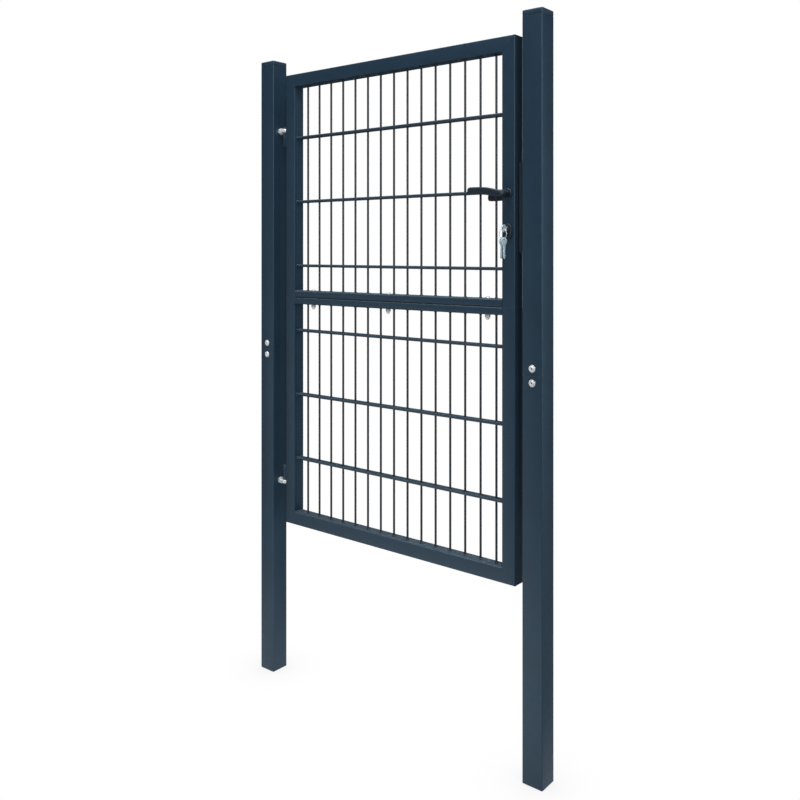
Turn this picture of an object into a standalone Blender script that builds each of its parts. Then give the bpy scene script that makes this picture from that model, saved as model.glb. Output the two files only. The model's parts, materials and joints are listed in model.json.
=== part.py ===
"""Garden gate: two square posts, a mesh leaf bolted together from two frames, eye-bolt hinges and a lock.

The gate stands in the XZ plane. X runs from the hinge post to the lock post, +Y is the way the leaf opens,
and Z is up from the foot of the posts. The origin is midway between the feet. All sizes are in metres.
"""

import math

import bmesh
import bpy
from mathutils import Matrix, Vector

# Fits
GAP = 0.0003                    # between pieces that touch
MITRE_GAP = 0.00025             # taken off each tube at a mitre
PLAY = 0.0005                   # beside pieces that slide

# Posts
POST_SPACING = 1.000
POST_WIDTH = 0.060
POST_HEIGHT = 2.000
POST_WALL = 0.002
POST_RADIUS = 0.003
CAP_HEIGHT = 0.015
CAP_PLUG_HEIGHT = 0.025
SPLICE_Z = 1.0555
SLEEVE_LENGTH = 0.300
SPLICE_SCREW_OFFSET = 0.0186
SPLICE_SCREW_RADIUS = 0.004
SPLICE_HEAD_RADIUS = 0.0097
SPLICE_HEAD_HEIGHT = 0.0046
SPLICE_SOCKET_WIDTH = 0.005

# Leaf frame
HINGE_GAP = 0.0485              # from the hinge post to the leaf
LATCH_GAP = 0.0277              # from the leaf to the lock post
LEAF_BOTTOM = 0.4977
LEAF_TOP = 1.9446
LEAF_SEAM_Z = 1.2278
TUBE_WIDTH = 0.040
TUBE_WALL = 0.002
TUBE_RADIUS = 0.0025
MID_RAIL_HEIGHT = 0.0214

# Mesh panels of upright wires between pairs of rods
WIRE_COUNT = 15
WIRE_RADIUS = 0.003
WIRE_PITCH = 0.0509
FIRST_WIRE_INSET = 0.0415       # from the hinge stile
ROD_RADIUS = 0.004
ROD_PITCH = 0.2057
ROD_OFFSET = 0.0066             # rods lie in front of and behind the wires
UPPER_ROD_DROP = 0.164          # from the top rail to the first pair of rods
LOWER_ROD_RISE = 0.1721         # from the bottom rail to the last pair
RODS_PER_PANEL = 3

# Bolts through the two middle rails
JOINT_BOLT_X = (-0.3155, -0.006, 0.3447)
JOINT_BOLT_RADIUS = 0.004
JOINT_HEAD_RADIUS = 0.007
JOINT_HEAD_HEIGHT = 0.0044
CAP_NUT_WIDTH = 0.013
CAP_NUT_HEX_HEIGHT = 0.0085
CAP_NUT_HEIGHT = 0.0155

# Hinges
HINGE_AXIS_OFFSET = 0.025       # from the hinge post's inner face
UPPER_HINGE_Z = 1.7696
LOWER_HINGE_Z = 0.6227
EYE_BOLT_RADIUS = 0.006
EYE_RADIUS = 0.012
EYE_HEIGHT = 0.011
EYE_BOLT_TAIL = 0.016           # beyond the post's outer face
EYE_NUT_WIDTH = 0.019
EYE_NUT_HEIGHT = 0.010
PIN_RADIUS = 0.006
PIN_PROUD = 0.006               # beyond the eye
PIN_SHOULDER_RADIUS = 0.0075
PIN_BRACKET_HEIGHT = 0.046
PIN_BRACKET_THICKNESS = 0.010

# Lever handles
LOCK_BACKSET = 0.021            # from the leaf's edge to the lever and key axes
LEVER_Z = 1.528
LEVER_TURN = math.radians(35)
LEVER_LENGTH = 0.108
FRONT_LEVER_RISE = 0.009
REAR_LEVER_RISE = -0.004         # the same handle turned over
LEVER_GRIP_HALF = 0.0100
LEVER_NECK_RADIUS = 0.009
LEVER_INNER_Y = 0.045
LEVER_OUTER_Y = 0.056
LEVER_EDGE = 0.0028
SPINDLE_WIDTH = 0.008
SPINDLE_HALF_LENGTH = 0.046
ROSE_THICKNESS = 0.005
LEVER_ROSE_RADIUS = 0.0135

# Lock case and bolts
KEY_DROP = 0.092                # from the lever axis to the key axis
CASE_BOTTOM = 1.393
CASE_TOP = 1.583
CASE_REAR_INSET = 0.0363        # from the leaf's edge to the back of the case
CASE_FRONT_INSET = 0.0025
CASE_HALF_THICKNESS = 0.008
CASE_WALL = 0.0015
FOREND_THICKNESS = 0.003
FOREND_HALF_WIDTH = 0.011
FOREND_OVERHANG = 0.020
FOREND_SCREW_INSET = 0.008
FOREND_SCREW_RADIUS = 0.002
FOREND_HEAD_RADIUS = 0.004
BOLT_HALF_THICKNESS = 0.006
LATCH_BOTTOM = 1.5515
LATCH_HEIGHT = 0.018
LATCH_BODY = 0.0265             # from the latch's back to the forend's face
LATCH_LUG = 0.0035
LATCH_LUG_DROP = 0.010
SPRING_LUG_RISE = 0.010
SPRING_LUG_INSET = 0.0098       # from the leaf's edge
FOLLOWER_HUB_RADIUS = 0.009
FOLLOWER_ARM_LENGTH = 0.022
FOLLOWER_ARM_WIDTH = 0.0044
FOLLOWER_REACH = 0.018          # radius at which the arm pushes the latch
LATCH_TRAVEL = 2 * FOLLOWER_REACH * math.sin(LEVER_TURN / 2)
SPRING_RADIUS = 0.0035
SPRING_WIRE_RADIUS = 0.0004
SPRING_TURNS = 7
DEADBOLT_BOTTOM = 1.470
DEADBOLT_HEIGHT = 0.024
DEADBOLT_BODY = 0.034
DEADBOLT_TAIL_BOTTOM = 1.450
DEADBOLT_TAIL = 0.0122

# Cylinder and keys
CYLINDER_RADIUS = 0.0085
CYLINDER_TAIL_WIDTH = 0.010
CYLINDER_DEPTH = 0.0245         # from the key axis to the foot of the profile
CYLINDER_HALF_LENGTH = 0.0265
PLUG_RADIUS = 0.006
CAM_RADIUS = 0.0082
CAM_NOSE = 0.0130
CAM_NOSE_WIDTH = 0.006
CAM_HALF_WIDTH = 0.0045
CAM_POCKET = 0.014
CYLINDER_ROSE_MARGIN = 0.0045
KEY_THICKNESS = 0.0022
KEY_BLADE_HEIGHT = 0.008
KEY_BLADE_LENGTH = 0.0365
KEY_BOW_RADIUS = 0.0105
KEY_COLLAR = 0.003              # between the cylinder's face and the bow
KEY_HOLE_OFFSET = 0.0045        # from the bow's centre
KEY_HOLE_RADIUS = 0.0032
KEY_INSERTED = 0.018            # depth of the blade in the plug
KEY_RING_RADIUS = 0.013
KEY_RING_WIRE = 0.0009
KEY_RING_TURN = math.radians(-12)
SPARE_KEY_SPREAD = 0.0045
SPARE_KEY_SPLAY = math.radians(4)

# Keep on the lock post
KEEP_BOTTOM = 1.3726
KEEP_TOP = 1.6075
KEEP_THICKNESS = 0.003
KEEP_HALF_WIDTH = 0.018
KEEP_LIP_DEPTH = 0.020
KEEP_LIP_Y = 0.008
KEEP_REAR_MARGIN = 0.006        # of the rear lip above and below the deadbolt
KEEP_SCREW_INSET = 0.012
KEEP_SCREW_RADIUS = 0.0025
KEEP_HEAD_RADIUS = 0.0048

# Places worked out from the sizes above
POST_INNER_X = POST_SPACING / 2 - POST_WIDTH / 2
LEAF_LEFT = -POST_INNER_X + HINGE_GAP
LEAF_RIGHT = POST_INNER_X - LATCH_GAP
HALF_TUBE = TUBE_WIDTH / 2
HINGE_X = -POST_INNER_X + HINGE_AXIS_OFFSET
LOCK_X = LEAF_RIGHT - LOCK_BACKSET
KEY_Z = LEVER_Z - KEY_DROP
FOREND_X = LEAF_RIGHT + GAP
FOREND_FACE_X = FOREND_X + FOREND_THICKNESS
CASE_REAR_X = LEAF_RIGHT - CASE_REAR_INSET
BOW_Y = -(CYLINDER_HALF_LENGTH + KEY_COLLAR + KEY_BOW_RADIUS)
KEY_HOLE_Y = BOW_Y - KEY_HOLE_OFFSET
RING_TOP_Z = KEY_Z - (KEY_HOLE_RADIUS - KEY_RING_WIRE - 2 * GAP)

# Finishes: colour, roughness and metallic value
ANTHRACITE = ((0.0210, 0.0420, 0.0680), 0.45, 0.0)
DARK_WIRE = ((0.0200, 0.0300, 0.0400), 0.50, 0.0)
ZINC = ((0.62, 0.66, 0.70), 0.32, 1.0)
BLACK_PLASTIC = ((0.012, 0.013, 0.015), 0.42, 0.0)
STEEL = ((0.50, 0.51, 0.52), 0.38, 1.0)
NICKEL = ((0.68, 0.70, 0.71), 0.25, 1.0)
BRASS = ((0.62, 0.47, 0.20), 0.30, 1.0)

SMOOTH_ANGLE = math.radians(32)


# ---------------------------------------------------------------- scene and objects

def clear_scene():
    for obj in list(bpy.data.objects):
        bpy.data.objects.remove(obj, do_unlink=True)


def new_collection(name):
    collection = bpy.data.collections.new(name)
    bpy.context.scene.collection.children.link(collection)
    return collection


def new_object(name, mesh):
    obj = bpy.data.objects.new(name, mesh)
    CUTTERS.objects.link(obj)
    return obj


def tool(obj):
    """Mark an object as a cutter, which only shapes other objects."""
    obj.hide_render = True
    obj.display_type = 'WIRE'
    return obj


def boolean(obj, other, operation):
    modifier = obj.modifiers.new(operation.lower(), 'BOOLEAN')
    modifier.operation = operation
    modifier.solver = 'EXACT'
    modifier.object = tool(other)


def cut(obj, *cutters):
    for cutter in cutters:
        boolean(obj, cutter, 'DIFFERENCE')


def join(obj, *others):
    for other in others:
        boolean(obj, other, 'UNION')


def settle(obj):
    """Give an object the mesh that its modifiers make."""
    graph = bpy.context.evaluated_depsgraph_get()
    mesh = bpy.data.meshes.new_from_object(obj.evaluated_get(graph))
    obj.modifiers.clear()
    obj.data = mesh


def part(obj, finish, axis=None):
    """Make an object a part of the gate, with its own material, riding on an axis if it moves."""
    settle(obj)
    obj.data.shade_smooth()
    obj.data.set_sharp_from_angle(angle=SMOOTH_ANGLE)
    colour, roughness, metallic = finish
    material = bpy.data.materials.new(obj.name)
    material.use_nodes = True
    shader = material.node_tree.nodes['Principled BSDF']
    shader.inputs['Base Color'].default_value = (*colour, 1.0)
    shader.inputs['Roughness'].default_value = roughness
    shader.inputs['Metallic'].default_value = metallic
    obj.data.materials.clear()
    obj.data.materials.append(material)
    CUTTERS.objects.unlink(obj)
    GATE.objects.link(obj)
    if axis is not None:
        bpy.context.view_layer.update()
        obj.parent = axis
        obj.matrix_parent_inverse = axis.matrix_world.inverted()
    return obj


def axis_empty(name, location):
    empty = bpy.data.objects.new(name, None)
    empty.location = location
    GATE.objects.link(empty)
    bpy.context.view_layer.update()
    return empty


# ---------------------------------------------------------------- shapes

def box(name, low, high, bevel=0.0):
    low, high = Vector(low), Vector(high)
    mesh = bpy.data.meshes.new(name)
    shape = bmesh.new()
    bmesh.ops.create_cube(shape, size=1.0, matrix=Matrix.Diagonal((*(high - low), 1.0)))
    shape.to_mesh(mesh)
    shape.free()
    obj = new_object(name, mesh)
    obj.location = (low + high) / 2
    if bevel:
        modifier = obj.modifiers.new('round_edges', 'BEVEL')
        modifier.width = bevel
        modifier.segments = 2
    return obj


def cylinder(name, radius, start, end, sides=24, turn=0.0):
    """A cylinder or a regular prism from start to end."""
    start, end = Vector(start), Vector(end)
    mesh = bpy.data.meshes.new(name)
    shape = bmesh.new()
    bmesh.ops.create_cone(shape, cap_ends=True, segments=sides, radius1=radius, radius2=radius,
                          depth=(end - start).length, matrix=Matrix.Rotation(turn, 4, 'Z'))
    shape.to_mesh(mesh)
    shape.free()
    obj = new_object(name, mesh)
    obj.location = (start + end) / 2
    obj.rotation_euler = (end - start).to_track_quat('Z', 'Y').to_euler()
    return obj


def turned(name, profile, location, direction=(0, 0, 1), steps=24, closed=False):
    """A turned shape. The profile is (radius, height) from top to bottom, and direction is its upper end."""
    mesh = bpy.data.meshes.new(name)
    edges = [(index, index + 1) for index in range(len(profile) - 1)]
    if closed:
        edges.append((len(profile) - 1, 0))
    mesh.from_pydata([(radius, 0.0, height) for radius, height in profile], edges, [])
    obj = new_object(name, mesh)
    obj.location = location
    obj.rotation_euler = Vector(direction).to_track_quat('Z', 'Y').to_euler()
    screw = obj.modifiers.new('turn', 'SCREW')
    screw.steps = steps
    screw.render_steps = steps
    screw.use_merge_vertices = True
    screw.merge_threshold = 0.00001
    return obj


def extruded(name, outlines, thickness):
    """Flat outlines, the later ones holes in the first, extruded along Z about the origin."""
    curve = bpy.data.curves.new(name, 'CURVE')
    curve.dimensions = '2D'
    curve.fill_mode = 'BOTH'
    curve.extrude = thickness / 2
    for outline in outlines:
        spline = curve.splines.new('POLY')
        spline.points.add(len(outline) - 1)
        for point, (x, y) in zip(spline.points, outline):
            point.co = (x, y, 0.0, 1.0)
        spline.use_cyclic_u = True
    guide = new_object(name + '_outline', curve)
    return mesh_from_curve(name, guide)


def mesh_from_curve(name, guide):
    """Replace a curve by its mesh, with the caps welded on."""
    graph = bpy.context.evaluated_depsgraph_get()
    mesh = bpy.data.meshes.new_from_object(guide.evaluated_get(graph))
    shape = bmesh.new()
    shape.from_mesh(mesh)
    bmesh.ops.remove_doubles(shape, verts=shape.verts, dist=0.000001)
    bmesh.ops.recalc_face_normals(shape, faces=shape.faces)
    shape.to_mesh(mesh)
    shape.free()
    obj = new_object(name, mesh)
    obj.matrix_world = guide.matrix_world
    bpy.data.objects.remove(guide)
    return obj


def face_y(obj, location):
    """Stand an extruded outline upright, with its thickness along Y, and put it in place."""
    obj.rotation_euler = (math.radians(90), 0, 0)
    obj.location = location
    return obj


def arc(centre, radius, first, last, steps):
    """Points on an arc from the first to the last angle in degrees."""
    points = []
    for step in range(steps + 1):
        angle = math.radians(first + (last - first) * step / steps)
        points.append((centre[0] + radius * math.cos(angle), centre[1] + radius * math.sin(angle)))
    return points


def rounded_rectangle(half_x, half_y, radius, steps=3):
    points = []
    for quarter, (sign_x, sign_y) in enumerate(((1, 1), (-1, 1), (-1, -1), (1, -1))):
        centre = (sign_x * (half_x - radius), sign_y * (half_y - radius))
        points += arc(centre, radius, 90 * quarter, 90 * quarter + 90, steps)
    return points


def square_tube(name, size_x, size_y, wall, radius, length, low_mitre=0, high_mitre=0):
    """A tube along Z from its origin. A mitre of 1 or -1 makes the +X or the -X side the longer one."""
    outside = rounded_rectangle(size_x / 2, size_y / 2, radius)
    inside = rounded_rectangle(size_x / 2 - wall, size_y / 2 - wall, radius - wall * 0.8, steps=1)
    obj = extruded(name, (outside, inside), length)
    for vertex in obj.data.vertices:
        if vertex.co.z > 0:
            slope = high_mitre * vertex.co.x - abs(high_mitre) * size_x / 2
            vertex.co.z = length + slope
        else:
            slope = low_mitre * vertex.co.x - abs(low_mitre) * size_x / 2
            vertex.co.z = -slope
    return obj


def post_tube(name, x, low, high):
    obj = square_tube(name, POST_WIDTH, POST_WIDTH, POST_WALL, POST_RADIUS, high - low)
    obj.location = (x, 0, low)
    return obj


def stile_tube(name, x, low, high, low_mitre, high_mitre):
    obj = square_tube(name, TUBE_WIDTH, TUBE_WIDTH, TUBE_WALL, TUBE_RADIUS, high - low, low_mitre, high_mitre)
    obj.location = (x, 0, low)
    return obj


def rail_tube(name, z, height, left, right, mitre):
    """A tube along X, whose local +X side is its underside."""
    obj = square_tube(name, height, TUBE_WIDTH, TUBE_WALL, TUBE_RADIUS, right - left, mitre, mitre)
    obj.rotation_euler = (0, math.radians(90), 0)
    obj.location = (left, 0, z)
    return obj


def dome_profile(radius, height, shank_radius, shank_length, steps=5):
    """A round-headed screw, its head resting at height 0."""
    rim = 0.0008
    points = [(0.0, height)]
    for step in range(1, steps + 1):
        angle = math.radians(90 * step / steps)
        points.append((radius * math.sin(angle), rim + (height - rim) * math.cos(angle)))
    points += [(radius, 0.0), (shank_radius, 0.0), (shank_radius, -shank_length), (0.0, -shank_length)]
    return points


# ---------------------------------------------------------------- posts

def make_post(side, x):
    top = POST_HEIGHT - CAP_HEIGHT - GAP
    lower = post_tube(f'{side}_post_lower', x, 0.0, SPLICE_Z)
    upper = post_tube(f'{side}_post_upper', x, SPLICE_Z + GAP, top)
    sleeve_width = POST_WIDTH - 2 * POST_WALL - 2 * GAP
    sleeve = square_tube(f'{side}_post_sleeve', sleeve_width, sleeve_width, POST_WALL, POST_RADIUS,
                         SLEEVE_LENGTH)
    sleeve.location = (x, 0, SPLICE_Z - SLEEVE_LENGTH / 2)
    for part_name, tube, sign in (('lower', lower, -1), ('upper', upper, 1)):
        z = SPLICE_Z + sign * SPLICE_SCREW_OFFSET
        for target in (tube, sleeve):
            hole = cylinder(f'{side}_{part_name}_screw_hole', SPLICE_SCREW_RADIUS + GAP,
                            (x, -POST_WIDTH, z), (x, 0, z))
            cut(target, hole)
        make_splice_screw(f'{side}_post_screw_{part_name}', x, z)
    if side == 'left':
        cut_eye_bolt_holes(lower, LOWER_HINGE_Z, x)
        cut_eye_bolt_holes(upper, UPPER_HINGE_Z, x)
    else:
        cut_keep_holes(upper)
    for obj in (lower, upper):
        part(obj, ANTHRACITE)
    part(sleeve, STEEL)
    make_post_cap(side, x)


def make_splice_screw(name, x, z):
    profile = dome_profile(SPLICE_HEAD_RADIUS, SPLICE_HEAD_HEIGHT, SPLICE_SCREW_RADIUS, 0.014)
    screw = turned(name, profile, (x, -POST_WIDTH / 2 - GAP, z), (0, -1, 0))
    socket_radius = SPLICE_SOCKET_WIDTH / math.sqrt(3)
    outer_y = -POST_WIDTH / 2 - SPLICE_HEAD_HEIGHT - 0.001
    cut(screw, cylinder(name + '_socket', socket_radius, (x, outer_y, z), (x, outer_y + 0.0035, z), sides=6))
    part(screw, ZINC)


def cut_eye_bolt_holes(tube, z, x):
    hole = cylinder(tube.name + '_eye_bolt_hole', EYE_BOLT_RADIUS + GAP, (x - POST_WIDTH, 0, z),
                    (x + POST_WIDTH, 0, z))
    cut(tube, hole)


def cut_keep_holes(tube):
    for name, z in keep_screw_places():
        cut(tube, cylinder(f'post_{name}_hole', KEEP_SCREW_RADIUS + GAP, (POST_INNER_X - 0.01, 0, z),
                           (POST_INNER_X + 0.01, 0, z), sides=16))


def make_post_cap(side, x):
    name = f'{side}_post_cap'
    half = POST_WIDTH / 2
    plug_half = half - POST_WALL - GAP
    head = extruded(name, (rounded_rectangle(half, half, POST_RADIUS),), CAP_HEIGHT)
    head.location = (x, 0, POST_HEIGHT - CAP_HEIGHT / 2)
    plug = extruded(name + '_plug', (rounded_rectangle(plug_half, plug_half, POST_RADIUS),),
                    CAP_PLUG_HEIGHT + 0.002)
    plug.location = (x, 0, POST_HEIGHT - CAP_HEIGHT - (CAP_PLUG_HEIGHT - 0.002) / 2)
    join(head, plug)
    part(head, ANTHRACITE)


# ---------------------------------------------------------------- hinges

def make_hinge(side, z, sign, leaf_axis):
    """An eye bolt in the post, and a pin on the leaf. The pin points up with sign 1 and down with sign -1."""
    outer_x = -POST_INNER_X - POST_WIDTH
    bore = PIN_RADIUS + GAP
    eye_profile = [(bore, EYE_HEIGHT / 2), (EYE_RADIUS - 0.002, EYE_HEIGHT / 2),
                   (EYE_RADIUS, EYE_HEIGHT / 2 - 0.002), (EYE_RADIUS, -EYE_HEIGHT / 2 + 0.002),
                   (EYE_RADIUS - 0.002, -EYE_HEIGHT / 2), (bore, -EYE_HEIGHT / 2)]
    eye = turned(f'{side}_eye_bolt', eye_profile, (HINGE_X, 0, z), steps=28, closed=True)
    shank = cylinder(f'{side}_eye_bolt_shank', EYE_BOLT_RADIUS, (outer_x - EYE_BOLT_TAIL, 0, z),
                     (HINGE_X - bore - 0.0015, 0, z))
    join(eye, shank)
    part(eye, ZINC)
    make_eye_nut(f'{side}_eye_bolt_inner_nut', -POST_INNER_X + GAP, z)
    make_eye_nut(f'{side}_eye_bolt_outer_nut', outer_x - GAP - EYE_NUT_HEIGHT, z)
    make_hinge_pin(f'{side}_hinge_pin', z, sign, leaf_axis)


def make_eye_nut(name, x, z):
    nut = cylinder(name, EYE_NUT_WIDTH / math.sqrt(3), (x, 0, z), (x + EYE_NUT_HEIGHT, 0, z), sides=6)
    cut(nut, cylinder(name + '_thread', EYE_BOLT_RADIUS + GAP, (x - 0.01, 0, z), (x + 0.02, 0, z)))
    part(nut, ZINC)


def make_hinge_pin(name, z, sign, leaf_axis):
    shoulder = EYE_HEIGHT / 2 + 0.001
    foot = shoulder + PIN_BRACKET_HEIGHT
    tip = EYE_HEIGHT / 2 + PIN_PROUD
    profile = [(0.0, tip), (PIN_RADIUS - 0.0015, tip), (PIN_RADIUS, tip - 0.0015), (PIN_RADIUS, -shoulder),
               (PIN_SHOULDER_RADIUS, -shoulder), (PIN_SHOULDER_RADIUS, -foot), (0.0, -foot)]
    pin = turned(name, profile, (HINGE_X, 0, z), (0, 0, sign), steps=28)
    half = PIN_BRACKET_THICKNESS / 2
    ends = sorted((z - sign * (shoulder + 0.001), z - sign * (foot - 0.001)))
    bracket = box(name + '_bracket', (HINGE_X, -half, ends[0]), (LEAF_LEFT - GAP, half, ends[1]))
    join(pin, bracket)
    part(pin, ANTHRACITE, leaf_axis)


# ---------------------------------------------------------------- leaf

def make_leaf_frame(axis):
    hinge_x = LEAF_LEFT + HALF_TUBE
    lock_x = LEAF_RIGHT - HALF_TUBE
    seam_low = LEAF_SEAM_Z - GAP / 2
    seam_high = LEAF_SEAM_Z + GAP / 2
    low, high = LEAF_BOTTOM + MITRE_GAP, LEAF_TOP - MITRE_GAP
    hinge_upper = stile_tube('hinge_stile_upper', hinge_x, seam_high, high, 0, -1)
    hinge_lower = stile_tube('hinge_stile_lower', hinge_x, low, seam_low, -1, 0)
    lock_upper = stile_tube('lock_stile_upper', lock_x, seam_high, high, 0, 1)
    lock_lower = stile_tube('lock_stile_lower', lock_x, low, seam_low, 1, 0)
    left, right = LEAF_LEFT + MITRE_GAP, LEAF_RIGHT - MITRE_GAP
    top = rail_tube('top_rail', LEAF_TOP - HALF_TUBE, TUBE_WIDTH, left, right, -1)
    bottom = rail_tube('bottom_rail', LEAF_BOTTOM + HALF_TUBE, TUBE_WIDTH, left, right, 1)
    inner_left, inner_right = LEAF_LEFT + TUBE_WIDTH + GAP, LEAF_RIGHT - TUBE_WIDTH - GAP
    mid_upper = rail_tube('mid_rail_upper', seam_high + MID_RAIL_HEIGHT / 2, MID_RAIL_HEIGHT,
                          inner_left, inner_right, 0)
    mid_lower = rail_tube('mid_rail_lower', seam_low - MID_RAIL_HEIGHT / 2, MID_RAIL_HEIGHT,
                          inner_left, inner_right, 0)
    for rail in (mid_upper, mid_lower):
        for x in JOINT_BOLT_X:
            cut(rail, cylinder(f'{rail.name}_bolt_hole', JOINT_BOLT_RADIUS + GAP,
                               (x, 0, LEAF_SEAM_Z - 0.05), (x, 0, LEAF_SEAM_Z + 0.05), sides=16))
    cut_lock_openings(lock_upper)
    for obj in (hinge_upper, hinge_lower, lock_upper, lock_lower, top, bottom, mid_upper, mid_lower):
        part(obj, ANTHRACITE, axis)


def make_mesh_panel(name, low, high, first_rod, axis):
    """Upright wires welded between pairs of rods, each bar six-sided with a corner facing its neighbour."""
    first_wire = LEAF_LEFT + TUBE_WIDTH + FIRST_WIRE_INSET
    wires = bmesh.new()
    for index in range(WIRE_COUNT):
        place = Matrix.Translation((first_wire + index * WIRE_PITCH, 0, (low + high) / 2))
        bmesh.ops.create_cone(wires, cap_ends=True, segments=6, radius1=WIRE_RADIUS, radius2=WIRE_RADIUS,
                              depth=high - low, matrix=place)
    rods = bmesh.new()
    left, right = LEAF_LEFT + TUBE_WIDTH + GAP, LEAF_RIGHT - TUBE_WIDTH - GAP
    for index in range(RODS_PER_PANEL):
        for y in (-ROD_OFFSET, ROD_OFFSET):
            place = Matrix.Translation(((left + right) / 2, y, first_rod - index * ROD_PITCH))
            turn = Matrix.Rotation(math.radians(90), 4, 'Y')
            bmesh.ops.create_cone(rods, cap_ends=True, segments=6, radius1=ROD_RADIUS, radius2=ROD_RADIUS,
                                  depth=right - left, matrix=place @ turn)
    objects = []
    for suffix, shape in (('', wires), ('_rods', rods)):
        mesh = bpy.data.meshes.new(name + suffix)
        shape.to_mesh(mesh)
        shape.free()
        objects.append(new_object(name + suffix, mesh))
    join(*objects)
    part(objects[0], DARK_WIRE, axis)


def make_mesh_panels(axis):
    upper_low = LEAF_SEAM_Z + GAP / 2 + MID_RAIL_HEIGHT + GAP
    lower_high = LEAF_SEAM_Z - GAP / 2 - MID_RAIL_HEIGHT - GAP
    inner_top = LEAF_TOP - TUBE_WIDTH
    inner_bottom = LEAF_BOTTOM + TUBE_WIDTH
    make_mesh_panel('upper_mesh_panel', upper_low, inner_top - GAP, inner_top - UPPER_ROD_DROP, axis)
    first_lower = inner_bottom + LOWER_ROD_RISE + (RODS_PER_PANEL - 1) * ROD_PITCH
    make_mesh_panel('lower_mesh_panel', inner_bottom + GAP, lower_high, first_lower, axis)


def make_joint_bolts(axis):
    head_z = LEAF_SEAM_Z + GAP / 2 + MID_RAIL_HEIGHT + GAP
    nut_z = LEAF_SEAM_Z - GAP / 2 - MID_RAIL_HEIGHT - GAP
    shank = head_z - nut_z + CAP_NUT_HEX_HEIGHT
    for label, x in zip(('left', 'middle', 'right'), JOINT_BOLT_X):
        profile = dome_profile(JOINT_HEAD_RADIUS, JOINT_HEAD_HEIGHT, JOINT_BOLT_RADIUS, shank)
        part(turned(f'joint_bolt_{label}', profile, (x, 0, head_z), steps=16), ZINC, axis)
        make_cap_nut(f'cap_nut_{label}', x, nut_z, axis)


def make_cap_nut(name, x, top, axis):
    corner = CAP_NUT_WIDTH / math.sqrt(3)
    nut = cylinder(name, corner, (x, 0, top - CAP_NUT_HEX_HEIGHT), (x, 0, top), sides=6)
    radius = CAP_NUT_WIDTH / 2 - 0.0004
    depth = CAP_NUT_HEIGHT - CAP_NUT_HEX_HEIGHT
    profile = [(0.0, 0.001), (radius, 0.001), (radius, 0.0)]
    profile += [(radius * math.cos(math.radians(a)), -depth * math.sin(math.radians(a))) for a in (25, 50, 72)]
    profile.append((0.0, -depth))
    join(nut, turned(name + '_dome', profile, (x, 0, top - CAP_NUT_HEX_HEIGHT), steps=18))
    cut(nut, cylinder(name + '_thread', JOINT_BOLT_RADIUS + GAP,
                      (x, 0, top - CAP_NUT_HEX_HEIGHT - 0.0015), (x, 0, top + 0.01), sides=16))
    part(nut, ZINC, axis)


# ---------------------------------------------------------------- lock

def profile_outline(margin):
    """The outline of a profile cylinder about its key axis, grown by a margin."""
    radius = CYLINDER_RADIUS + margin
    half = CYLINDER_TAIL_WIDTH / 2 + margin
    meet = math.degrees(math.asin(half / radius))
    foot = -(CYLINDER_DEPTH - CYLINDER_TAIL_WIDTH / 2)
    return arc((0, 0), radius, -90 + meet, 270 - meet, 18) + arc((0, foot), half, 180, 360, 8)


def profile_prism(name, margin, front_y, back_y):
    obj = extruded(name, (profile_outline(margin),), back_y - front_y)
    return face_y(obj, (LOCK_X, (front_y + back_y) / 2, KEY_Z))


def cut_lock_openings(stile):
    """Openings in the lock stile for the case, the spindle and the cylinder, and for the forend's screws."""
    side = TUBE_WIDTH
    cut(stile,
        cylinder('spindle_opening', LEVER_NECK_RADIUS + 0.001, (LOCK_X, -side, LEVER_Z), (LOCK_X, side, LEVER_Z)),
        profile_prism('cylinder_opening', 0.0008, -side, side),
        box('case_opening', (LEAF_RIGHT - 0.006, -CASE_HALF_THICKNESS - PLAY, CASE_BOTTOM - 0.001),
            (LEAF_RIGHT + 0.01, CASE_HALF_THICKNESS + PLAY, CASE_TOP + 0.001)))
    for name, z in forend_screw_places():
        cut(stile, cylinder(f'stile_{name}_hole', FOREND_SCREW_RADIUS + GAP, (LEAF_RIGHT - 0.006, 0, z),
                            (LEAF_RIGHT + 0.01, 0, z), sides=16))


def forend_screw_places():
    return (('forend_screw_upper', CASE_TOP + FOREND_OVERHANG - FOREND_SCREW_INSET),
            ('forend_screw_lower', CASE_BOTTOM - FOREND_OVERHANG + FOREND_SCREW_INSET))


def keep_screw_places():
    return (('keep_screw_upper', KEEP_TOP - KEEP_SCREW_INSET),
            ('keep_screw_lower', KEEP_BOTTOM + KEEP_SCREW_INSET))


def make_lock_case(axis):
    """A case that is open towards the forend, with round and profiled openings through its sides."""
    half = CASE_HALF_THICKNESS
    front = LEAF_RIGHT - CASE_FRONT_INSET
    case = box('lock_case', (CASE_REAR_X, -half, CASE_BOTTOM), (front, half, CASE_TOP))
    inner = half - CASE_WALL
    cut(case,
        box('case_cavity', (CASE_REAR_X + CASE_WALL, -inner, CASE_BOTTOM + CASE_WALL),
            (front + 0.01, inner, CASE_TOP - CASE_WALL)),
        cylinder('follower_bearing', FOLLOWER_HUB_RADIUS + GAP, (LOCK_X, -0.02, LEVER_Z), (LOCK_X, 0.02, LEVER_Z)),
        profile_prism('case_cylinder_opening', GAP, -0.02, 0.02))
    part(case, STEEL, axis)


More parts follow.
